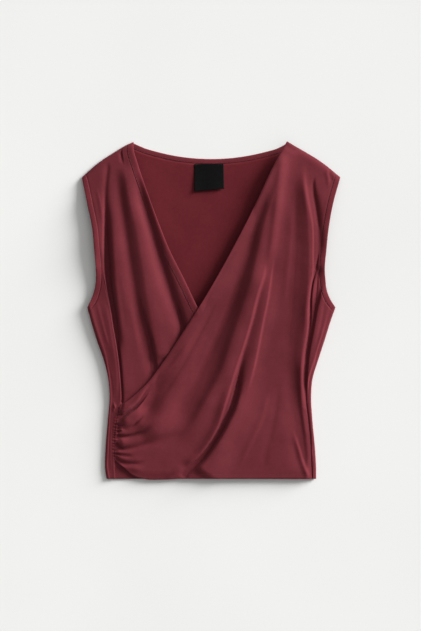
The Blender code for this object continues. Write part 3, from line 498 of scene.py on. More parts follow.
# Rounded puffs of cloth between them.
GATHER_PUFFS = (
    Gather(1, 4, ((-146, -210), (-134, -211.5), (-120, -207), (-104, -200))),
    Gather(0.8, 3, ((-150, -234), (-138, -237), (-122, -237), (-108, -234))),
    Gather(1, 3.4, ((-149, -246.5), (-138, -251), (-122, -253), (-106, -251))),
)
# The long creases and the soft hollows, which run on from the seam into the drape.
GATHER_HOLLOWS = (
    # The first crease, and the fuller cloth below it.
    Fold(-7.4, 3.4, 2, 12, 36, ((-151, -178), (-148.4, -175.9), (-143.6, -171.1), (-138, -166.3),
        (-132.4, -162.3), (-124.4, -156.7), (-119.6, -151.9), (-114.8, -147.1), (-110.6, -141.5),
        (-106.6, -135.1), (-102.2, -127.9), (-97.6, -121), (-91.8, -111))),
    Fold(3.4, 1.7, 12, 14, 50, ((-147, -181), (-141, -175), (-134, -169), (-127, -163.5), (-119, -158),
        (-111.5, -150), (-105, -141.5), (-98, -131), (-91, -118))),
    Fold(2.2, 4, 4, 6, 40, ((-145, -165), (-133, -156), (-124, -149), (-116, -141), (-108, -131),
        (-100, -118))),
    # The soft crease that runs on into the drape.
    Fold(-3.2, 3.4, 2.6, 6, 26, ((-144, -190.5), (-138, -189.5), (-131, -186), (-124.4, -182.5),
        (-119.6, -178.5), (-113, -172), (-106, -163))),
    Fold(-3, 5, 16, 24, 40, ((-117, -167), (-111.5, -157), (-106.5, -147), (-98.5, -133), (-88, -113),
        (-76, -88))),
    Fold(-2.2, 9, 13, 16, 40, ((-116, -180), (-109, -172), (-101, -162), (-92, -147), (-82, -125))),
    # The second, the third and the last crease.
    Fold(-4.6, 3, 4.2, 2.5, 46, ((-152, -198.5), (-148.4, -200.5), (-141, -201), (-134, -200.7),
        (-126, -199.1), (-119.6, -196.7), (-114.8, -195.1), (-110, -192.7), (-105.2, -189.5),
        (-100.4, -185.5), (-95.6, -180.7), (-90, -174))),
    Fold(-4.8, 3.4, 3.4, 2.5, 46, ((-154, -211), (-150, -217), (-143.6, -220.8), (-134, -220.4),
        (-124.4, -218.3), (-114.8, -214.8), (-105.2, -211.1), (-95.6, -208), (-86, -204))),
    Fold(-5, 2.4, 2.4, 2.5, 34, ((-155, -233), (-152, -237.5), (-145, -242), (-135, -244), (-125, -244),
        (-113, -242.5), (-104, -241))),
    # The shade below the drape's bulk.
    Fold(-2.6, 9, 9, 40, 44, ((-122, -217), (-105, -212.5), (-95, -209.5), (-84, -206), (-72, -201.5),
        (-58, -197), (-38, -191))),
)
GATHER_START_FADE = 2.5
# The short ripples that the thread draws up along the gathered seam, and in the strip beside it.
RIPPLE_RISE = 0.8
RIPPLE_LENGTH = 4.6
RIPPLE_REACH = 9.0
RIPPLE_STRIP_REACH = 3.0
RIPPLE_FADE_IN = 14.0
RIPPLE_FADE_OUT = 12.0
RIPPLE_END_Y = GATHER_END_Y - 4.0
# How unevenly they follow each other: size, wave length and start of each sway.
RIPPLE_SWAYS = ((1.3, 7.0, 0.0), (0.9, 3.1, 1.0))

# Fine folds of the turned side strips.
FINE_STRIP = {
    "left": (
        ARMHOLE_LIP,
        Fold(0.8, 3, 9, 30, 30, ((-172, 20), (-164.5, -15), (-158, -55), (-153.5, -87), (-151.5, -120),
            (-154, -150))),
        Fold(0.35, 1.6, 2.6, 30, 30, ((-160.5, -92), (-160, -140), (-161, -200), (-160.5, -266))),
        Fold(0.6, 1.6, 3, 20, 20, ((-184, 20), (-174, -20), (-163, -60))),
        Fold(0.9, 1.4, 2, 5, 5, ((-157.5, -146), (-154.5, -152), (-152.5, -158))),
        Fold(0.9, 1.4, 2, 5, 5, ((-152, -148), (-155, -156), (-157, -163))),
    ),
    "right": (
        Fold(3.2, 14, 2, 20, 40, ((180.5, 44), (170.5, 4), (164.5, -31), (158.5, -63), (154.5, -103),
            (156, -150))),
        Fold(0.8, 1.6, 3.4, 30, 30, ((181, -20), (170, -60), (160.5, -100), (157, -130))),
        Fold(-0.8, 2, 3, 30, 30, ((184, 30), (176, -20), (166, -62))),
        Fold(1.5, 1.6, 2.8, 8, 8, ((159.5, -178), (162, -220), (165.5, -262))),
    ),
}

# Slow unevenness of the cloth: direction in degrees, wave length, phase and height.
Wave = namedtuple("Wave", "direction length phase rise")
CLOTH_WAVES = (
    Wave(12, 71, 0.4, 0.12),
    Wave(58, 53, 2.1, 0.08),
    Wave(101, 47, 4, 0.07),
    Wave(147, 38, 1.2, 0.06),
    Wave(33, 29, 5.3, 0.035),
    Wave(84, 23, 3.1, 0.025),
    Wave(163, 19, 0.9, 0.02),
)


def smoothstep(value):
    value = np.clip(value, 0.0, 1.0)
    return value * value * (3.0 - 2.0 * value)


def bell(distance, width):
    """1 on the line, and falling off smoothly beside it."""
    return np.exp(-((distance / width) ** 2))


def fractions(steps):
    """From 0 to 1 in so many even steps."""
    return np.linspace(0.0, 1.0, steps + 1)


def spline(points):
    """A smooth curve through the points, as a fine polyline."""
    points = np.array(points, float)
    chords = np.linalg.norm(np.diff(points, axis=0), axis=1)
    slopes = np.diff(points, axis=0) / chords[:, None]
    tangents = np.empty_like(points)
    tangents[0] = slopes[0]
    tangents[-1] = slopes[-1]
    before = chords[:-1, None]
    after = chords[1:, None]
    tangents[1:-1] = (slopes[:-1] * after + slopes[1:] * before) / (before + after)
    pieces = []
    for start, end, tangent_in, tangent_out, chord in zip(
        points[:-1], points[1:], tangents[:-1], tangents[1:], chords
    ):
        t = np.linspace(0.0, 1.0, max(2, int(chord / SPLINE_STEP) + 1), endpoint=False)[:, None]
        pieces.append(
            (2 * t**3 - 3 * t**2 + 1) * start
            + (t**3 - 2 * t**2 + t) * chord * tangent_in
            + (3 * t**2 - 2 * t**3) * end
            + (t**3 - t**2) * chord * tangent_out
        )
    return np.vstack(pieces + [points[-1:]])


def lengths_along(curve):
    return np.concatenate([[0.0], np.cumsum(np.linalg.norm(np.diff(curve, axis=0), axis=1))])


def at_fractions(curve, shares):
    """Points of the curve at these fractions of its length."""
    length = lengths_along(curve)
    wanted = np.asarray(shares) * length[-1]
    return np.column_stack([np.interp(wanted, length, column) for column in curve.T])


def at_distance(curve, distance):
    """The point at this distance from the curve's start, or before its end if the distance is negative."""
    share = distance / lengths_along(curve)[-1]
    return at_fractions(curve, [share if distance > 0.0 else 1.0 + share])[0]


def stretch(curve, start_y, end_y, steps):
    """Points of a falling curve between two levels, evenly spaced along it."""
    length = lengths_along(curve)
    ends = np.interp([-start_y, -end_y], -curve[:, 1], length) / length[-1]
    return at_fractions(curve, np.linspace(ends[0], ends[1], steps + 1))


def shifted(curve, distance):
    """The curve moved to its left side by the distance."""
    tangent = np.gradient(curve, axis=0)
    tangent /= np.linalg.norm(tangent, axis=1)[:, None]
    return curve + distance * np.column_stack([-tangent[:, 1], tangent[:, 0]])


def beside(points, curve):
    """For each point: its distance to the left of the curve, and how far along the curve it lies."""
    start = curve[:-1]
    step = np.diff(curve, axis=0)
    size = (step**2).sum(axis=1)
    relative = points[:, None, :] - start[None, :, :]
    share = np.clip((relative * step).sum(axis=2) / size, 0.0, 1.0)
    offset = relative - share[:, :, None] * step
    distance = np.linalg.norm(offset, axis=2)
    nearest = distance.argmin(axis=1)
    rows = np.arange(len(points))
    step = step[nearest]
    offset = offset[rows, nearest]
    side = np.sign(step[:, 0] * offset[:, 1] - step[:, 1] * offset[:, 0])
    along = lengths_along(curve)[nearest] + share[rows, nearest] * np.sqrt(size[nearest])
    return side * distance[rows, nearest], along


def away(points, curve):
    """Each point's distance from the curve, on either side."""
    return np.abs(beside(points, curve)[0])


def below(points, y, length):
    """0 above the level y, and 1 from the given length below it."""
    return smoothstep((y - points[:, 1]) / length)


def along_line(points, curve, reach, profile):
    """The profile's height for the points within reach of the curve, and 0 for the others."""
    near = (points > curve.min(axis=0) - reach) & (points < curve.max(axis=0) + reach)
    near = near.all(axis=1)
    height = np.zeros(len(points))
    if near.any():
        height[near] = profile(*beside(points[near], curve))
    return height


def fold_relief(points, fold):
    """What one fold adds to the height of each point."""
    curve = spline(fold.path)
    length = lengths_along(curve)[-1]

    def profile(distance, along):
        width = np.where(distance > 0.0, fold.left, fold.right)
        fade = smoothstep(along / fold.fade_in) * smoothstep((length - along) / fold.fade_out)
        return fold.rise * fade * bell(distance, width)

    return along_line(points, curve, FOLD_REACH * max(fold.left, fold.right), profile)


def relief(points, folds):
    return sum(fold_relief(points, fold) for fold in folds)


def groove(points, curve, depth, width):
    """A line pressed into the cloth all along a curve."""
    return along_line(points, curve, GROOVE_REACH * width, lambda distance, _: depth * bell(distance, width))


def gather_relief(points, gathers, start_fade):
    folds = (Fold(rise, width, width, start_fade, GATHER_FADE, path) for rise, width, path in gathers)
    return relief(points, folds)


def unevenness(points, share=1.0):
    """The slow, slight waves of a cloth that nobody has pressed."""
    height = np.zeros(len(points))
    for wave in CLOTH_WAVES:
        angle = np.radians(wave.direction)
        along = points[:, 0] * np.cos(angle) + points[:, 1] * np.sin(angle)
        across = points[:, 1] * np.cos(angle) - points[:, 0] * np.sin(angle)
        bend = WAVE_BEND * np.sin(across / wave.length + wave.phase)
        height += wave.rise * np.sin(2 * np.pi * along / wave.length + wave.phase + bend)
    return share * height


def ripples(points, reach):
    """The short ripples beside the gathered seam."""
    inside = below(points, OVERLAP_SEAM_Y, RIPPLE_FADE_IN)
    inside *= smoothstep((points[:, 1] - RIPPLE_END_Y) / RIPPLE_FADE_OUT)
    down = points[:, 1] - OVERLAP_SEAM_Y
    phase = 2 * np.pi * down / RIPPLE_LENGTH
    for size, length, start in RIPPLE_SWAYS:
        phase += size * np.sin(down / length + start)
    return RIPPLE_RISE * inside * np.sin(phase) * bell(away(points, LINES.seam["left"]), reach)


def level_curve(levels, column):
    """A smooth line through one column of a table of levels."""
    return spline([(getattr(level, column), level.y) for level in levels])


def at_level(levels, column, y):
    """One column of a table of falling levels, at the heights y."""
    levels = levels[::-1]
    return np.interp(y, [level.y for level in levels], [getattr(level, column) for level in levels])


def height_along_seam(side, y):
    return at_level(SIDE_SEAMS, side + "_height", y)


def roll_height(side, y):
    return at_level(ROLLS, side, y)


def roll_share(columns):
    """Columns of a quarter turn, from the side edge inwards: the depth and the rise of each, 0 to 1."""
    angle = np.linspace(0.0, np.pi / 2, columns + 1)
    return 1.0 - np.cos(angle), np.sin(angle)


class Outline:
    """The lines that the pieces share. Neighbours along a seam use the same stations of its line."""

    def __init__(self):
        self.v_under = spline(V_UNDER)
        self.v_over = spline(V_OVER)
        self.drape_edge = spline(DRAPE_EDGE)
        self.shoulder = {"left": spline(SHOULDER_LEFT), "right": spline(SHOULDER_RIGHT)}
        self.edge = {side: level_curve(SIDES, side) for side in SIDE_NAMES}
        self.seam = {side: level_curve(SIDE_SEAMS, side) for side in SIDE_NAMES}
        self.armhole_outer = {}
        self.armhole_inner = {}
        self.seam_points = {}
        for side in SIDE_NAMES:
            outer = level_curve(ARMHOLES, side)
            self.armhole_outer[side] = armhole_stations(outer)
            self.armhole_inner[side] = armhole_stations(self.inner_armhole(side, outer))
            self.seam_points[side] = self.seam_stations(side)
        self.neck_band_inner = self.inner_neck_band()

    def on_shoulder(self, side, from_tip):
        return at_distance(self.shoulder[side], -from_tip)

    def beside_neck(self, side, from_neck):
        return at_distance(self.shoulder[side], from_neck)

    def on_edge(self, side, below_underarm):
        return at_distance(self.edge[side], below_underarm)

    def inner_armhole(self, side, outer):
        """The line between the armhole's strip and the panels, from the shoulder to the side edge."""
        inwards = ARMHOLE_BAND_WIDTH if side == "left" else -ARMHOLE_BAND_WIDTH
        line = shifted(outer, inwards)
        lowest, highest = UNDERARM_Y + ARMHOLE_MARGINS[0], ARMHOLES[0].y - ARMHOLE_MARGINS[1]
        line = line[(line[:, 1] > lowest) & (line[:, 1] < highest)]
        top = self.on_shoulder(side, ARMHOLE_BAND_WIDTH)
        end = self.on_edge(side, ARMHOLE_BAND_WIDTH)
        return spline(np.vstack([top, line[::KEEP_EVERY], end]))

    def seam_stations(self, side):
        levels = (SEAM_TOP_Y, OVERLAP_SEAM_Y, GATHER_END_Y, HEM_Y)
        points = [self.armhole_inner[side][FRONT_ARMHOLE_ROWS : FRONT_ARMHOLE_ROWS + 1]]
        for start, end, rows in zip(levels[:-1], levels[1:], SEAM_ROWS):
            points.append(stretch(self.seam[side], start, end, rows)[1:])
        return np.vstack(points)

    def inner_neck_band(self):
        """The line between the underlap and its neck band, down to the right side seam."""
        line = shifted(self.v_under, -NECK_BAND_WIDTH)
        start = self.beside_neck("left", NECK_BAND_WIDTH)
        end = self.seam_points["right"][-UNDERLAP_HEM_ROWS - 1] - (SEAM_GAP / 2, 0.0)
        line = line[(line[:, 1] < start[1] - BAND_MARGINS[0]) & (line[:, 0] < end[0] - BAND_MARGINS[1])]
        line = spline(np.vstack([start, line[::KEEP_EVERY_ON_BAND], end]))
        return at_fractions(line, fractions(NECK_BAND_ROWS))


def armhole_stations(line):
    """From the shoulder to the seam's top, on to the start of the roll, and over the roll's edge."""
    length = lengths_along(line)
    at_seam = np.interp(-SEAM_TOP_Y, -line[:, 1], length) / length[-1]
    roll = ROLL_PATH / length[-1]
    front = np.linspace(0.0, at_seam, FRONT_ARMHOLE_ROWS + 1)
    strip = np.linspace(at_seam, 1.0 - roll, STRIP_COLUMNS + 1)[1:]
    turn = 1.0 - roll * roll_share(ROLL_COLUMNS)[0][::-1][1:]
    return at_fractions(line, np.concatenate([front, strip, turn]))


LINES = Outline()


def seam_grooves(points, lines, depth=SEAM_GROOVE):
    return sum(groove(points, line, depth, SEAM_GROOVE_WIDTH) for line in lines)


def strip_height(points, side):
    """The lower skin of the back where it is turned over onto the front."""
    distance = away(points, LINES.seam[side])
    rising = (line[side][::-1] for line in (LINES.edge, LINES.seam))
    edge, seam = (np.interp(points[:, 1], line[:, 1], line[:, 0]) for line in rising)
    width = np.where(points[:, 1] < UNDERARM_Y, np.abs(edge - seam), STRIP_FULL_WIDTH)
    at_seam = height_along_seam(side, points[:, 1])
    share = np.clip(distance / width, 0.0, 1.0)
    bulge = STRIP_BULGE[side] * 4.0 * share * (1.0 - share)
    height = at_seam + (roll_height(side, points[:, 1]) - WALL - at_seam) * smoothstep(share) + bulge
    from_roll = smoothstep((width - distance - ROLL_DEPTH) / STRIP_FADE)
    height += from_roll * (relief(points, FINE_STRIP[side]) + unevenness(points, STRIP_UNEVENNESS))
    sewn, depth = 1.0, RIGHT_SEAM_GROOVE
    if side == "left":
        sewn, depth = below(points, OVERLAP_SEAM_Y + SEAM_LIP, SEAM_LIP), SEAM_GROOVE
    height += seam_grooves(points, (LINES.seam[side],), depth) * sewn
    height += seam_grooves(points, (LINES.armhole_inner[side],), BAND_GROOVE)
    height += hem_relief(points) * from_roll
    if side == "left":
        height += ripples(points, RIPPLE_STRIP_REACH)
    return height


def hem_relief(points):
    """The turned hem: a stitched groove, and two layers of cloth below it."""
    above = points[:, 1] - HEM_Y
    pressed = HEM_GROOVE * bell(above - HEM_TURN, HEM_GROOVE_WIDTH)
    return pressed + HEM_RISE * smoothstep((HEM_TURN - above) / HEM_BLEND)


def near_shoulder(points, side):
    """0 at the shoulder line and 1 past its rounding."""
    share = np.clip(away(points, LINES.shoulder[side]) / SHOULDER_ROUNDING, 0.0, 1.0)
    return np.sqrt(np.clip(1.0 - (1.0 - share) ** 2, 0.0, 1.0))


def blend_to(height, edge_height, weight):
    """The height where the weight is 1, and the edge's height where it is 0."""
    return edge_height + (height - edge_height) * weight


def chest_lift(points, side):
    """How much higher a front stands over the chest than at the waist."""
    up = smoothstep((points[:, 1] - CHEST_START_Y) / CHEST_RISE)
    return CHEST_LIFT[side] * up * smoothstep(away(points, LINES.shoulder[side]) / CHEST_FROM_SHOULDER)


def v_edge_lift(points, side, line):
    return V_EDGE_LIFT[side] * bell(beside(points, line)[0], V_EDGE_LIFT_WIDTH[side])


def under_height(points):
    """The lower skin of the underlap and its neck band."""
    height = UNDER_BASE + chest_lift(points, "left") + relief(points, FOLDS_UNDER.values())
    height += v_edge_lift(points, "left", LINES.v_under)
    height += unevenness(points)
    beside_seam = below(points, SEAM_TOP_Y + UNDER_SEAM_BLEND / 2, UNDER_SEAM_BLEND)
    beside_seam *= bell(away(points, LINES.seam["left"]), UNDER_SEAM_ROUNDING)
    height = blend_to(height, height_along_seam("left", points[:, 1]), 1.0 - beside_seam)
    height = blend_to(height, SHOULDER_HEIGHT, near_shoulder(points, "left"))
    height += relief(points, FINE_UNDER) * (1.0 - beside_seam)
    height += seam_grooves(points, (LINES.seam["left"],)) * below(points, SEAM_TOP_Y - SEAM_LIP, SEAM_LIP)
    height += seam_grooves(points, (LINES.armhole_inner["left"], LINES.neck_band_inner), BAND_GROOVE)
    height += groove(points, LINES.v_under, EDGE_ROLL / 2, EDGE_ROLL_WIDTH)
    covered = beside(points, LINES.v_over)[0]
    height = blend_to(height, UNDER_FLOOR, 1.0 - smoothstep((covered + COVERED_START) / COVERED_SLOPE))
    height += hem_relief(points)
    return np.maximum(height, UNDER_FLOOR)


def over_height(points):
    """The lower skin of the overlap."""
    height = OVER_BASE + chest_lift(points, "right") + relief(points, FOLDS_OVER.values())
    height += v_edge_lift(points, "right", LINES.v_over)
    height += relief(points, FINE_OVER) + unevenness(points)
    for side in SIDE_NAMES:
        from_seam = away(points, LINES.seam[side])
        weight = SEAM_SHARE + (1.0 - SEAM_SHARE) * smoothstep(from_seam / SEAM_ROUNDING[side])
        height = blend_to(height, height_along_seam(side, points[:, 1]), weight)
    height = blend_to(height, SHOULDER_HEIGHT, near_shoulder(points, "right"))
    from_drape = away(points, LINES.drape_edge)
    weight = DRAPE_SHARE + (1.0 - DRAPE_SHARE) * smoothstep(from_drape / DRAPE_ROUNDING)
    height = blend_to(height, OVER_FLOOR, weight)
    height += gather_relief(points, GATHER_CREASES, GATHER_START_FADE)
    height += gather_relief(points, GATHER_PUFFS, 2 * GATHER_START_FADE)
    height += relief(points, GATHER_HOLLOWS)
    height += ripples(points, RIPPLE_REACH)
    height += seam_grooves(points, (LINES.seam["left"],))
    below_top = below(points, SEAM_TOP_Y - SEAM_LIP, SEAM_LIP)
    height += seam_grooves(points, (LINES.seam["right"],), RIGHT_SEAM_GROOVE) * below_top
    height += seam_grooves(points, (LINES.armhole_inner["right"],), BAND_GROOVE)
    height += groove(points, LINES.v_over, EDGE_ROLL / 2, EDGE_ROLL_WIDTH)
    height += hem_relief(points) * smoothstep((points[:, 0] - LEVEL_HEM_X) / LEVEL_HEM_BLEND)
    covered = smoothstep((beside(points, LINES.v_over)[0] + OVER_COVER_START) / OVER_COVER_BLEND)
    covered *= below(points, UNDERARM_Y + OVER_COVER_RISE, OVER_COVER_RISE)
    lowest = SHOULDER_HEIGHT + (OVER_FLOOR - SHOULDER_HEIGHT) * covered
    clear_of_under = under_height(points) + WALL * STEEPEST_WALL + LAYER_GAP / 2 * covered
    return np.maximum(np.maximum(height, lowest), clear_of_under)


def coons(left, right, start, end, spread=1.0):
    """A grid of points between four border lines. A spread over 1 packs its columns towards the left."""
    t = np.linspace(0.0, 1.0, len(left))[:, None, None]
    s = np.linspace(0.0, 1.0, len(start))[None, :, None] ** spread
    ruled_across = (1 - s) * left[:, None, :] + s * right[:, None, :]
    ruled_along = (1 - t) * start[None, :, :] + t * end[None, :, :]
    first = (1 - s) * left[0] + s * right[0]
    last = (1 - s) * left[-1] + s * right[-1]
    return ruled_across + ruled_along - (1 - t) * first - t * last


def grid_faces(index):
    """Quads between the neighbours of a grid of point numbers."""
    corners = (index[:-1, :-1], index[1:, :-1], index[1:, 1:], index[:-1, 1:])
    return np.stack([corner.ravel() for corner in corners], axis=1)


def point_normals(points, faces):
    a, b, c, d = (points[faces[:, corner]] for corner in range(4))
    face_normals = np.cross(c - a, d - b)
    normals = np.zeros_like(points)
    for corner in range(4):
        np.add.at(normals, faces[:, corner], face_normals)
    return unit(normals)


def unit(vectors):
    return vectors / np.maximum(np.linalg.norm(vectors, axis=1), 1e-12)[:, None]


def without(vectors, direction):
    """Unit vectors: the given ones with their part along the direction taken out."""
    direction = unit(direction)
    return unit(vectors - (vectors * direction).sum(axis=1)[:, None] * direction)


def facing(points, faces, first_normal_z):
    """The faces, turned round if the first point's normal has the other sign along Z."""
    if point_normals(points, faces)[0, 2] * first_normal_z < 0.0:
        return faces[:, ::-1]
    return faces


def build_shell(name, skin, lining, faces, materials):
    """A closed shell of cloth: the skin with its faces as given, the lining turned round, and a round rim.

    The first material is the skin's, and the last one is the lining's.
    """
    count = len(skin)
    edges = np.concatenate([faces[:, [0, 1]], faces[:, [1, 2]], faces[:, [2, 3]], faces[:, [3, 0]]])
    both_ways = np.isin(edges[:, 0] * count + edges[:, 1], edges[:, 1] * count + edges[:, 0])
    rim = edges[~both_ways]
    outwards = np.zeros_like(skin)
    across = np.cross(skin[rim[:, 1]] - skin[rim[:, 0]], skin[rim[:, 0]] - lining[rim[:, 0]])
    for end in range(2):
        np.add.at(outwards, rim[:, end], across)
    on_rim = np.unique(rim)
    middle = (skin[on_rim] + lining[on_rim]) / 2 + unit(outwards[on_rim]) * RIM_BULGE
    number = np.zeros(count, int)
    number[on_rim] = 2 * count + np.arange(len(on_rim))
    a, b = rim[:, 0], rim[:, 1]
    upper = np.stack([b, a, number[a], number[b]], axis=1)
    lower = np.stack([number[b], number[a], a + count, b + count], axis=1)
    quads = np.concatenate([faces, faces[:, ::-1] + count, upper, lower])
    points = np.vstack([skin, lining, middle]) - CENTRE
    piece = build_mesh(name, points, quads.tolist(), materials)
    inside = np.zeros(len(quads), np.int32)
    inside[len(faces) : 2 * len(faces)] = len(materials) - 1
    piece.data.polygons.foreach_set("material_index", inside)
    return piece


def build_mesh(name, points, faces, materials):
    mesh = bpy.data.meshes.new(name)
    mesh.from_pydata((points * MM).tolist(), [], faces)
    for material in materials:
        mesh.materials.append(material)
    mesh.shade_smooth()
    return place_object(name, mesh)


def place_object(name, data):
    thing = bpy.data.objects.new(name, data)
    bpy.context.scene.collection.objects.link(thing)
    return thing


def grid_shell(name, shape, skin, lining, materials):
    """A shell over one grid of points, with its skin on top."""
    index = np.arange(len(skin)).reshape(shape)
    return build_shell(name, skin, lining, facing(skin, grid_faces(index), 1.0), materials)


def height_field(name, grid, height, materials):
    """A shell over a grid of plan points, where the solid's lower skin has the given height."""
    shape = grid.shape[:2]
    flat = grid.reshape(-1, 2)
    low = height(flat)
    surface = np.concatenate([grid, low.reshape(*shape, 1)], axis=2)
    normal = np.cross(np.gradient(surface, axis=0), np.gradient(surface, axis=1)).reshape(-1, 3)
    steepness = np.minimum(np.linalg.norm(normal, axis=1) / np.abs(normal[:, 2]), STEEPEST_WALL)
    skin = with_height(flat, low + WALL * steepness)
    return grid_shell(name, shape, skin, with_height(flat, skin[:, 2] - CLOTH * steepness), materials)


def on_line(points, curve):
    """The points moved to the nearest point of the curve."""
    length = lengths_along(curve)
    along = beside(points, curve)[1]
    return np.column_stack([np.interp(along, length, column) for column in curve.T])


def front_border(side, outwards):
    """A front's armhole and side seam, from the shoulder to the hem."""
    seam = LINES.seam_points[side] - (outwards * SEAM_GAP / 2, 0.0)
    return np.vstack([LINES.armhole_inner[side][:FRONT_ARMHOLE_ROWS], seam])


def shoulder_border(start, end, side, columns, spread=1.0):
    across = fractions(columns)[:, None] ** spread
    points = on_line(start + (end - start) * across, LINES.shoulder[side])
    points[0] = start
    points[-1] = end
    return points


def front_under(materials):
    left = front_border("left", -1.0)
    hem_part = LINES.seam_points["right"][-UNDERLAP_HEM_ROWS:] - (SEAM_GAP / 2, 0.0)
    right = np.vstack([LINES.neck_band_inner, hem_part])
    shoulder = shoulder_border(left[0], right[0], "left", UNDER_COLUMNS, UNDER_SPREAD)
    hem = left[-1] + (right[-1] - left[-1]) * fractions(UNDER_COLUMNS)[:, None] ** UNDER_SPREAD
    grid = coons(left, right, shoulder, hem, UNDER_SPREAD)
    return height_field("front_under_cloth", grid, under_height, materials)


def front_over(materials):
    right = front_border("right", 1.0)
    seam_start, seam_end = SEAM_ROWS[0], SEAM_ROWS[0] + SEAM_ROWS[1]
    gathered = LINES.seam_points["left"][seam_start : seam_end + 1] + (SEAM_GAP / 2, 0.0)
    drape = at_fractions(LINES.drape_edge, fractions(DRAPE_COLUMNS))
    hem = drape[-1] + (right[-1] - drape[-1]) * fractions(HEM_COLUMNS)[:, None]
    end = np.vstack([gathered, drape[1:], hem[1:]])
    share = 1.0 - np.linspace(1.0, 0.0, len(right)) ** V_EDGE_SPREAD
    left = at_fractions(LINES.v_over, share)
    left[-1] = end[0]
    shoulder = shoulder_border(left[0], right[0], "right", len(end) - 1)
    return height_field("front_over_cloth", coons(left, right, shoulder, end), over_height, materials)


def across_strip(first, last, columns):
    """Plan points of a strip, from one long edge to the other."""
    return first[:, None, :] + fractions(columns)[None, :, None] * (last - first)[:, None, :]


def crown(columns, rise):
    """How much a strip bulges over its width."""
    share = fractions(columns)
    return rise * np.sqrt(np.clip(4.0 * share * (1.0 - share), 0.0, 1.0))


def neck_band(materials):
    """The strip along the underlap's V edge, beside the panel's own stations."""
    inner = shifted(LINES.neck_band_inner, SEAM_GAP)
    inner[0] = LINES.beside_neck("left", NECK_BAND_WIDTH - SEAM_GAP)
    outer = on_line(inner, LINES.v_under)
    outer[0] = LINES.v_under[0]
    keep = inner[:, 0] < LINES.seam["right"][-1, 0] - NECK_BAND_END
    grid = across_strip(inner, outer, BAND_COLUMNS)[keep]
    return height_field("neck_band", grid, under_height, materials)


def side_patch(side):
    """The plan of the strip that is turned over: rows from the underarm to the hem, edge to seam."""
    outwards = -1.0 if side == "left" else 1.0
    top = LINES.armhole_inner[side][FRONT_ARMHOLE_ROWS:][::-1].copy()
    seam = LINES.seam_points[side] + (outwards * SEAM_GAP / 2, 0.0)
    edge = stretch(LINES.edge[side], top[0, 1], HEM_Y, len(seam) - 1)
    share = roll_share(ROLL_COLUMNS)[0]
    depth = ROLL_DEPTH / np.linalg.norm(seam - edge, axis=1)[:, None]
    strip = depth + (1.0 - depth) * fractions(STRIP_COLUMNS)[None, 1:]
    across = np.concatenate([share[None, :] * depth, strip], axis=1)[:, :, None]
    plan = edge[:, None, :] + across * (seam - edge)[:, None, :]
    top[-1] = seam[0]
    fade = (1.0 - np.linspace(0.0, 1.0, len(plan))) ** 3
    return plan + fade[:, None, None] * (top - plan[0])


def turned_side(side):
    """The strip's outer skin, from its contact with the surface round to the seam."""
    plan = side_patch(side)
    rise = roll_share(ROLL_COLUMNS)[1]
    half = roll_height(side, plan[:, 0, 1]) / 2
    columns = list(plan.swapaxes(0, 1))
    turn = list(zip(columns, rise))
    skin = [with_height(points, half - half * up) for points, up in turn[:0:-1]]
    skin += [with_height(points, half + half * up) for points, up in turn]
    skin += [with_height(points, strip_height(points, side) + WALL) for points in columns[len(turn) :]]
    return np.stack(skin, axis=1)


def with_height(points, height):
    return np.column_stack([points, np.broadcast_to(height, len(points))])


def back_neck_line():
    """The top edge of the back, from one end of the neck to the other."""
    x = np.linspace(-BACK_NECK_HALF_WIDTH, BACK_NECK_HALF_WIDTH, BACK_NECK_STATIONS)
    curve = np.column_stack([x, BACK_NECK_DEPTH_Y + BACK_NECK_SPREAD * x**2])
    left, right = neck_ends(0.0)
    return spline(np.vstack([left, curve, right]))


def neck_ends(inwards):
    """Where a line of the neck binding meets the left and the right shoulder."""
    return [LINES.beside_neck(side, BACK_NECK_INSET + inwards) for side in SIDE_NAMES]


def binding_inner_line():
    line = shifted(back_neck_line(), -BINDING_WIDTH)
    left, right = neck_ends(BINDING_WIDTH)
    inside = line[(line[:, 0] > left[0] + BINDING_MARGIN) & (line[:, 0] < right[0] - BINDING_MARGIN)]
    line = spline(np.vstack([left, inside[::KEEP_EVERY], right]))
    return at_fractions(line, fractions(NECK_COLUMNS))


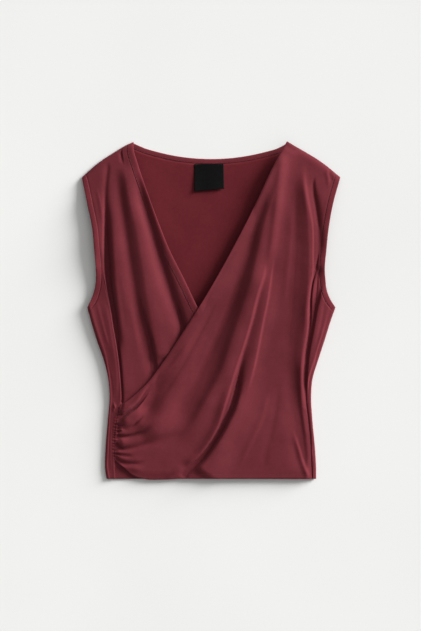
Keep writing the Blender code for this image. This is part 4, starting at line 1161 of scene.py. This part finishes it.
def back_panel(materials):
    sides = {side: turned_side(side) for side in SIDE_NAMES}
    borders = {}
    for side in SIDE_NAMES:
        side_part = sides[side][::-1, 0, :2]
        armhole_part = LINES.armhole_inner[side][: FRONT_ARMHOLE_ROWS + STRIP_COLUMNS][::-1]
        borders[side] = np.vstack([side_part, armhole_part])
    neck = binding_inner_line()
    left = shoulder_border(neck[0], borders["left"][-1], "left", SHOULDER_COLUMNS)[::-1]
    right = shoulder_border(neck[-1], borders["right"][-1], "right", SHOULDER_COLUMNS)
    top = np.vstack([left, neck[1:-1], right])
    hem = borders["left"][0] + (borders["right"][0] - borders["left"][0]) * fractions(len(top) - 1)[:, None]
    plan = coons(borders["left"], borders["right"], hem, top)
    rows, columns = plan.shape[:2]
    middle = np.arange(rows * columns).reshape(rows, columns)
    points = [with_height(plan.reshape(-1, 2), 0.0)]
    faces = [grid_faces(middle)]
    seam_edges = []
    underarm_rows = []
    count = rows * columns
    for side, column in (("left", 0), ("right", columns - 1)):
        turned = sides[side][::-1, 1:]
        index = np.arange(turned.shape[0] * turned.shape[1]).reshape(turned.shape[:2]) + count
        count += index.size
        seam_edges.append(index[:, -1])
        underarm_rows.append(index[-2:])
        index = np.column_stack([middle[: len(index), column], index])
        faces.append(grid_faces(index[:, ::-1] if side == "left" else index))
        points.append(turned.reshape(-1, 3))
    skin = np.vstack(points)
    faces = facing(skin, np.concatenate(faces), -1.0)
    inwards = -point_normals(skin, faces)
    for next_row, end in underarm_rows:
        across = (skin[end] - skin[next_row]) * (1.0, 1.0, 0.0)
        inwards[end] = without(inwards[end], across)
    inwards[np.concatenate(seam_edges)] = (0.0, 0.0, -1.0)
    lining = skin + inwards * WALL
    inside = np.arange(rows * columns)
    lining[inside, 2] += np.clip(unevenness(skin[inside, :2], BACK_UNEVENNESS), *BACK_WAVE_LIMITS)
    return build_shell("back_body", skin, lining, faces, materials)


def back_neck_binding(materials):
    inner = shifted(binding_inner_line(), SEAM_GAP)
    outer = at_fractions(back_neck_line(), fractions(NECK_COLUMNS))
    inner[0], inner[-1] = neck_ends(BINDING_WIDTH - SEAM_GAP)
    grid = across_strip(outer, inner, BAND_COLUMNS)
    shape = grid.shape[:2]
    flat = grid.reshape(-1, 2)
    skin = with_height(flat, WALL + np.broadcast_to(crown(BAND_COLUMNS, BINDING_CROWN), shape).ravel())
    return grid_shell("neck_binding", shape, skin, with_height(flat, 0.0), materials)


def label(materials):
    """The label hangs a little askew, and its lower end lifts."""
    down = fractions(LABEL_ROWS)[:, None, None]
    right = fractions(LABEL_COLUMNS)[None, :, None]
    corners = np.array(LABEL_CORNERS)
    plan = (1 - down) * ((1 - right) * corners[0] + right * corners[1])
    plan = plan + down * ((1 - right) * corners[2] + right * corners[3])
    shape = plan.shape[:2]
    share = np.broadcast_to(down[:, :, 0], shape).ravel()
    flat = plan.reshape(-1, 2)
    wave = LABEL_WAVE * np.sin(flat[:, 0] / LABEL_WAVE_LENGTH + LABEL_WAVE_START) * share
    low = WALL + LABEL_GAP + LABEL_CURL * share**2 + wave
    skin = with_height(flat, low + LABEL_THICKNESS)
    return grid_shell("neck_label", shape, skin, with_height(flat, low), materials)


def armhole_band(side, materials):
    """One strip from the front of the shoulder, round the side edge, to the back of the shoulder."""
    outer = LINES.armhole_outer[side]
    inner = shifted(LINES.armhole_inner[side], -SEAM_GAP if side == "left" else SEAM_GAP)
    inner[0] = LINES.on_shoulder(side, ARMHOLE_BAND_WIDTH - SEAM_GAP)
    inner[-1] = LINES.on_edge(side, ARMHOLE_BAND_WIDTH - SEAM_GAP)
    plan = across_strip(outer, inner, BAND_COLUMNS)
    columns = BAND_COLUMNS + 1
    straight = len(plan) - ROLL_COLUMNS - 1
    flat = plan.reshape(-1, 2)
    field = under_height if side == "left" else over_height
    on_strip = below(flat, SEAM_TOP_Y + STRIP_BLEND / 2, STRIP_BLEND)
    top = blend_to(strip_height(flat, side), field(flat), on_strip) + WALL
    top = top.reshape(plan.shape[:2]) + crown(BAND_COLUMNS, BAND_CROWN)
    half = roll_height(side, UNDERARM_Y) / 2
    rise = roll_share(ROLL_COLUMNS)[1][::-1]
    top[straight:] = half + half * rise[:, None]
    bottom = np.zeros_like(top)
    bottom[straight:] = half - half * rise[:, None]
    upper = np.concatenate([plan, top[:, :, None]], axis=2)
    lower = np.concatenate([plan, bottom[:, :, None]], axis=2)[::-1][1:]
    ring = np.concatenate([upper, lower], axis=0)
    skin = ring.reshape(-1, 3)
    faces = facing(skin, grid_faces(np.arange(len(skin)).reshape(-1, columns)), 1.0)
    inwards = -point_normals(skin, faces)
    across = ring[:, -1] - ring[:, 0]
    last = slice(columns - 1, None, columns)
    inwards[last] = without(inwards[last], across * (1.0, 1.0, 0.0))
    inwards[: straight * columns] = (0.0, 0.0, -1.0)
    inwards[-straight * columns :] = (0.0, 0.0, 1.0)
    return build_shell("armhole_cloth_" + side, skin, skin + inwards * WALL, faces, materials)


def footprint_centre():
    """The middle of the top's outline, which becomes the origin of the meshes."""
    pairs = (LINES.edge, LINES.armhole_outer, LINES.shoulder)
    outline = np.vstack([line[side] for line in pairs for side in SIDE_NAMES] + [LINES.drape_edge])
    middle = (outline.min(axis=0) + outline.max(axis=0)) / 2
    return np.array([middle[0], middle[1], 0.0])


CENTRE = footprint_centre()


# Stitches.

def heights_on(piece, points):
    """The piece's upper surface under the given plan points, and its normal there, in millimetres."""
    tree = BVHTree.FromObject(piece, bpy.context.evaluated_depsgraph_get())
    found = []
    for x, y in points - CENTRE[:2]:
        place, normal, _, _ = tree.ray_cast(Vector((x * MM, y * MM, RAY_START)), Vector((0.0, 0.0, -1.0)))
        found.append(None if place is None else (np.array(place) / MM + CENTRE, np.array(normal)))
    return found


def stitch_run(name, carrier, curve, materials, pitch=STITCH_PITCH):
    """A row of stitches on a piece, along a line: each a short thread that dips in at both ends."""
    length = lengths_along(curve)[-1]
    count = int(length / pitch)
    starts = (np.arange(count) + 0.5) * pitch / length
    half = STITCH_SHARE * pitch / 2 / length
    ends = [at_fractions(curve, starts - half), at_fractions(curve, starts + half)]
    hits = [heights_on(carrier, points) for points in ends]
    turn = 2 * np.pi * np.arange(THREAD_SIDES) / THREAD_SIDES
    points, faces = [], []
    for first, last in zip(*hits):
        if first is None or last is None:
            continue
        along = last[0] - first[0]
        up = unit((first[1] + last[1])[None, :])[0]
        size = np.linalg.norm(along)
        if size > LONGEST_STITCH * pitch:
            continue
        along /= size
        across = np.cross(along, up)
        start = len(points)
        sink = up * THREAD_RADIUS * THREAD_SINK
        points.append(first[0] - along * THREAD_RADIUS - sink)
        for place in (first[0] + along * THREAD_SHOULDER, last[0] - along * THREAD_SHOULDER):
            for angle in turn:
                ring = np.cos(angle) * across + np.sin(angle) * up
                points.append(place + ring * THREAD_RADIUS + up * THREAD_RADIUS * THREAD_RISE)
        points.append(last[0] + along * THREAD_RADIUS - sink)
        tip = start + 2 * THREAD_SIDES + 1
        for i in range(THREAD_SIDES):
            a, b = start + 1 + i, start + 1 + (i + 1) % THREAD_SIDES
            c, d = b + THREAD_SIDES, a + THREAD_SIDES
            faces += [(start, b, a), (a, b, c, d), (tip, d, c)]
    return build_mesh(name, np.array(points) - CENTRE, faces, materials)


# Materials.

def add(tree, kind, inputs=(), **settings):
    """A new shader node. Inputs are (name or number, value or socket)."""
    node = tree.nodes.new(kind)
    for key, value in settings.items():
        setattr(node, key, value)
    for key, value in inputs:
        if isinstance(value, bpy.types.NodeSocket):
            tree.links.new(value, node.inputs[key])
        else:
            node.inputs[key].default_value = value
    return node


def noise(tree, place, scale, depth, rough=0.5):
    inputs = (("Vector", place), ("Scale", scale), ("Detail", depth), ("Roughness", rough))
    return add(tree, "ShaderNodeTexNoise", inputs).outputs["Fac"]


def threads(tree, place, axis, scale):
    """Fine parallel threads along one axis, slightly uneven."""
    inputs = (("Vector", place), ("Scale", scale), ("Distortion", THREAD_DISTORTION), ("Detail", 1.0))
    return add(tree, "ShaderNodeTexWave", inputs, bands_direction=axis).outputs["Fac"]


def mixed(tree, operation, first, second):
    return add(tree, "ShaderNodeMath", ((0, first), (1, second)), operation=operation).outputs[0]


def scaled(tree, value, factor):
    return mixed(tree, "MULTIPLY", value, factor)


def blended(tree, patterns, shares):
    """The sum of the patterns, each scaled by its share."""
    parts = [scaled(tree, pattern, share) for pattern, share in zip(patterns, shares)]
    total = parts[0]
    for part in parts[1:]:
        total = mixed(tree, "ADD", total, part)
    return total


def ramp(tree, factor, colour):
    """The colour's deep, base and light tones, from the low to the high parts of a pattern."""
    node = add(tree, "ShaderNodeValToRGB", (("Fac", factor),))
    steps = node.color_ramp.elements
    steps[0].position, steps[1].position = RAMP_SPAN
    steps[0].color = (*colour.deep, 1.0)
    steps[1].color = (*colour.light, 1.0)
    steps.new(sum(RAMP_SPAN) / 2).color = (*colour.base, 1.0)
    return node.outputs["Color"]


def mapped(tree, value, source, target):
    """The value, with one span stretched to another."""
    names = ("From Min", "From Max", "To Min", "To Max")
    inputs = (("Value", value), *zip(names, (*source, *target)))
    return add(tree, "ShaderNodeMapRange", inputs).outputs["Result"]


def new_material(name, settings):
    """A material with these values on its shader: itself, its tree, its shader, the object's coordinates."""
    material = bpy.data.materials.new(name)
    material.use_nodes = True
    tree = material.node_tree
    shader = tree.nodes["Principled BSDF"]
    for key, value in settings.items():
        shader.inputs[key].default_value = value
    return material, tree, shader, add(tree, "ShaderNodeTexCoord").outputs["Object"]


def connect(tree, shader, colour, relief_of, bump):
    """Links a colour to the shader, and a bump of the given strength and distance."""
    tree.links.new(colour, shader.inputs["Base Color"])
    inputs = (("Strength", bump[0]), ("Distance", bump[1]), ("Height", relief_of))
    tree.links.new(add(tree, "ShaderNodeBump", inputs).outputs["Normal"], shader.inputs["Normal"])


def cloth_material(name, colour):
    """Crepe jersey: cloudy dye, a pebbled grain of twisted threads, and a soft sheen."""
    material, tree, shader, place = new_material(name, CREPE_SHADER)
    cloud = noise(tree, place, *CLOUD)
    mottle = noise(tree, place, *MOTTLE)
    pebble = noise(tree, place, *PEBBLE)
    across = threads(tree, place, "X", THREADS_ACROSS)
    along = threads(tree, place, "Y", THREADS_ALONG)
    weave = scaled(tree, mixed(tree, "ADD", across, along), 0.5)
    dye = blended(tree, (cloud, mottle, pebble), DYE_SHARES)
    grain = blended(tree, (pebble, weave), GRAIN_SHARES)
    connect(tree, shader, ramp(tree, dye, colour), grain, CREPE_BUMP)
    tree.links.new(mapped(tree, mottle, PATTERN_SPAN, CREPE_ROUGHNESS), shader.inputs["Roughness"])
    return material


def label_material(name, colour):
    """Woven satin tape: fine ribs across the label, hardly any colour."""
    material, tree, shader, place = new_material(name, LABEL_SHADER)
    ribs = threads(tree, place, "Y", LABEL_RIBS)
    mottle = noise(tree, place, *LABEL_MOTTLE)
    tone = blended(tree, (ribs, mottle), (0.5, 0.5))
    connect(tree, shader, ramp(tree, tone, colour), ribs, LABEL_BUMP)
    tree.links.new(mapped(tree, mottle, PATTERN_SPAN, LABEL_ROUGHNESS), shader.inputs["Roughness"])
    return material


def thread_material(name, colour):
    """Sewing thread: plies that show as fine bands."""
    material, tree, shader, place = new_material(name, THREAD_SHADER)
    inputs = (("Vector", place), ("Scale", PLIES))
    plies = add(tree, "ShaderNodeTexWave", inputs, bands_direction="DIAGONAL").outputs["Fac"]
    connect(tree, shader, ramp(tree, plies, colour), plies, THREAD_BUMP)
    return material


def floor_material():
    material, tree, shader, place = new_material("floor_plaster", FLOOR_SHADER)
    cloud = noise(tree, place, *FLOOR_CLOUD)
    tones = Colour(*(tuple(channel * tone for channel in FLOOR_COLOUR) for tone in FLOOR_TONES))
    tree.links.new(ramp(tree, cloud, tones), shader.inputs["Base Color"])
    return material


def part_along(tree, axis):
    """How much of the sky's direction lies along the axis."""
    direction = add(tree, "ShaderNodeTexCoord").outputs["Generated"]
    inputs = ((0, direction), (1, axis))
    return add(tree, "ShaderNodeVectorMath", inputs, operation="DOT_PRODUCT").outputs["Value"]


def studio():
    """The pale floor, the low light from the upper right, the sky with its pale horizon, and the camera."""
    scene = bpy.context.scene
    size = FLOOR_SIZE / 2
    mesh = bpy.data.meshes.new("floor")
    corners = [(-size, -size, 0.0), (size, -size, 0.0), (size, size, 0.0), (-size, size, 0.0)]
    mesh.from_pydata(corners, [], [(0, 1, 2, 3)])
    mesh.materials.append(floor_material())
    floor = place_object("floor", mesh)
    floor.location.z = FLOOR_DROP
    floor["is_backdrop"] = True

    world = bpy.data.worlds.new("sky")
    scene.world = world
    world.use_nodes = True
    tree = world.node_tree
    azimuth, elevation = np.radians(SUN_AZIMUTH), np.radians(SUN_ELEVATION)
    facing_light = part_along(tree, (np.cos(azimuth), np.sin(azimuth), 0.0))
    tilt = mixed(tree, "ADD", scaled(tree, facing_light, SKY_TILT), 1.0)
    haze = mapped(tree, part_along(tree, (0.0, 0.0, 1.0)), HAZE_TOP, (1.0, 0.0))
    inputs = ((0, haze), (2, scaled(tree, tilt, SKY_STRENGTH)), (3, HAZE_STRENGTH))
    strength = add(tree, "ShaderNodeMix", inputs)
    sky = tree.nodes["Background"]
    sky.inputs["Color"].default_value = (1.0, 1.0, 1.0, 1.0)
    tree.links.new(strength.outputs[0], sky.inputs["Strength"])

    light = bpy.data.lights.new("key", "SUN")
    light.angle = np.radians(SUN_ANGLE)
    light.energy = SUN_STRENGTH
    level = np.cos(elevation)
    source = Vector((np.cos(azimuth) * level, np.sin(azimuth) * level, np.sin(elevation)))
    place_object("key", light).rotation_euler = source.to_track_quat("Z", "Y").to_euler()

    lens = bpy.data.cameras.new("camera")
    lens.sensor_fit = "VERTICAL"
    lens.sensor_height = SENSOR_HEIGHT
    lens.lens = SENSOR_HEIGHT * CAMERA_HEIGHT / (PICTURE_HEIGHT * PIXEL)
    camera = place_object("camera", lens)
    right = (PICTURE_WIDTH / 2 - CENTRE_PIXEL_X) * PIXEL
    down = (PICTURE_HEIGHT / 2 - AIM_PIXEL_Y) * PIXEL
    camera.location = (right, -down, CAMERA_HEIGHT)
    scene.camera = camera
    scene.view_settings.view_transform = "Standard"


def beside_line(curve, distance, end=1.0):
    """A line up to a share of its length, moved to its left side by the distance."""
    line = shifted(at_fractions(curve, np.linspace(0.0, 1.0, LINE_SAMPLES)), distance)
    return line[: int(LINE_SAMPLES * end)]


def level_line(start_x, end_x, y):
    return np.array([(start_x, y), (end_x, y)])


def declare(piece, node, stitches=()):
    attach(piece, "root")
    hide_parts(node)
    for stitch in stitches:
        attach(stitch, "root")


def main():
    # The linings get the darker inside colour, which is partly painted shade.
    inside = cloth_material("crepe_inside_painted_shade", SHADED_INSIDE_BURGUNDY)
    crepe = (cloth_material("crepe_burgundy", BURGUNDY), inside)
    # The strips' brighter colour is partly painted light.
    binding = (cloth_material("crepe_binding", LIT_BINDING_BURGUNDY),)
    woven = (label_material("label_black", LABEL_BLACK),)
    thread = (thread_material("thread_burgundy", THREAD),)
    black_thread = (thread_material("thread_black", LABEL_BLACK),)
    studio()

    back = back_panel(crepe)
    under = front_under(crepe)
    over = front_over(crepe)
    band = neck_band(binding)
    neck = back_neck_binding(binding)
    tag = label(woven)
    armholes = {side: armhole_band(side, binding) for side in SIDE_NAMES}

    hem_y = HEM_Y + HEM_TURN
    over_hem = stitch_run("hem_stitches_over", over, level_line(*OVER_HEM_STITCHES, hem_y), thread)
    under_hem = stitch_run("hem_stitches_under", under, level_line(*UNDER_HEM_STITCHES, hem_y), thread)
    strip_hems = [
        stitch_run("hem_stitches_" + side, back, level_line(*STRIP_HEM_STITCHES[side], hem_y), thread)
        for side in SIDE_NAMES
    ]
    band_seam = beside_line(LINES.neck_band_inner, STITCH_INSET + SEAM_GAP, BAND_STITCHED)
    band_stitches = stitch_run("band_stitches", band, band_seam, thread)
    neck_seam = beside_line(binding_inner_line(), STITCH_INSET + SEAM_GAP)
    neck_stitches = stitch_run("neck_stitches", neck, neck_seam, thread)
    arm_stitches = {}
    for side in SIDE_NAMES:
        outwards = -STITCH_INSET if side == "left" else STITCH_INSET
        line = beside_line(LINES.armhole_inner[side], outwards, ARMHOLE_STITCHED)
        arm_stitches[side] = stitch_run("armhole_stitches_" + side, armholes[side], line, thread)
    tag_tops = []
    for side in SIDE_NAMES:
        line = level_line(*LABEL_STITCHES[side], LABEL_STITCH_Y)
        tag_tops.append(stitch_run("label_stitches_" + side, tag, line, black_thread, LABEL_STITCH_PITCH))

    declare(back, "back_panel", strip_hems)
    declare(under, "front_under", [under_hem])
    declare(over, "front_over", [over_hem])
    declare(band, "neck_band_under", [band_stitches])
    declare(neck, "back_neck_binding", [neck_stitches])
    for side in SIDE_NAMES:
        piece = armholes[side]
        node = "armhole_band_" + side
        declare(piece, node, [arm_stitches[side]])
    declare(tag, "label", tag_tops)


main()
bounds = {"cad": CAD_BOUNDS, "visual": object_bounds()}
{key: [list(corner) for corner in box] for key, box in bounds.items()}
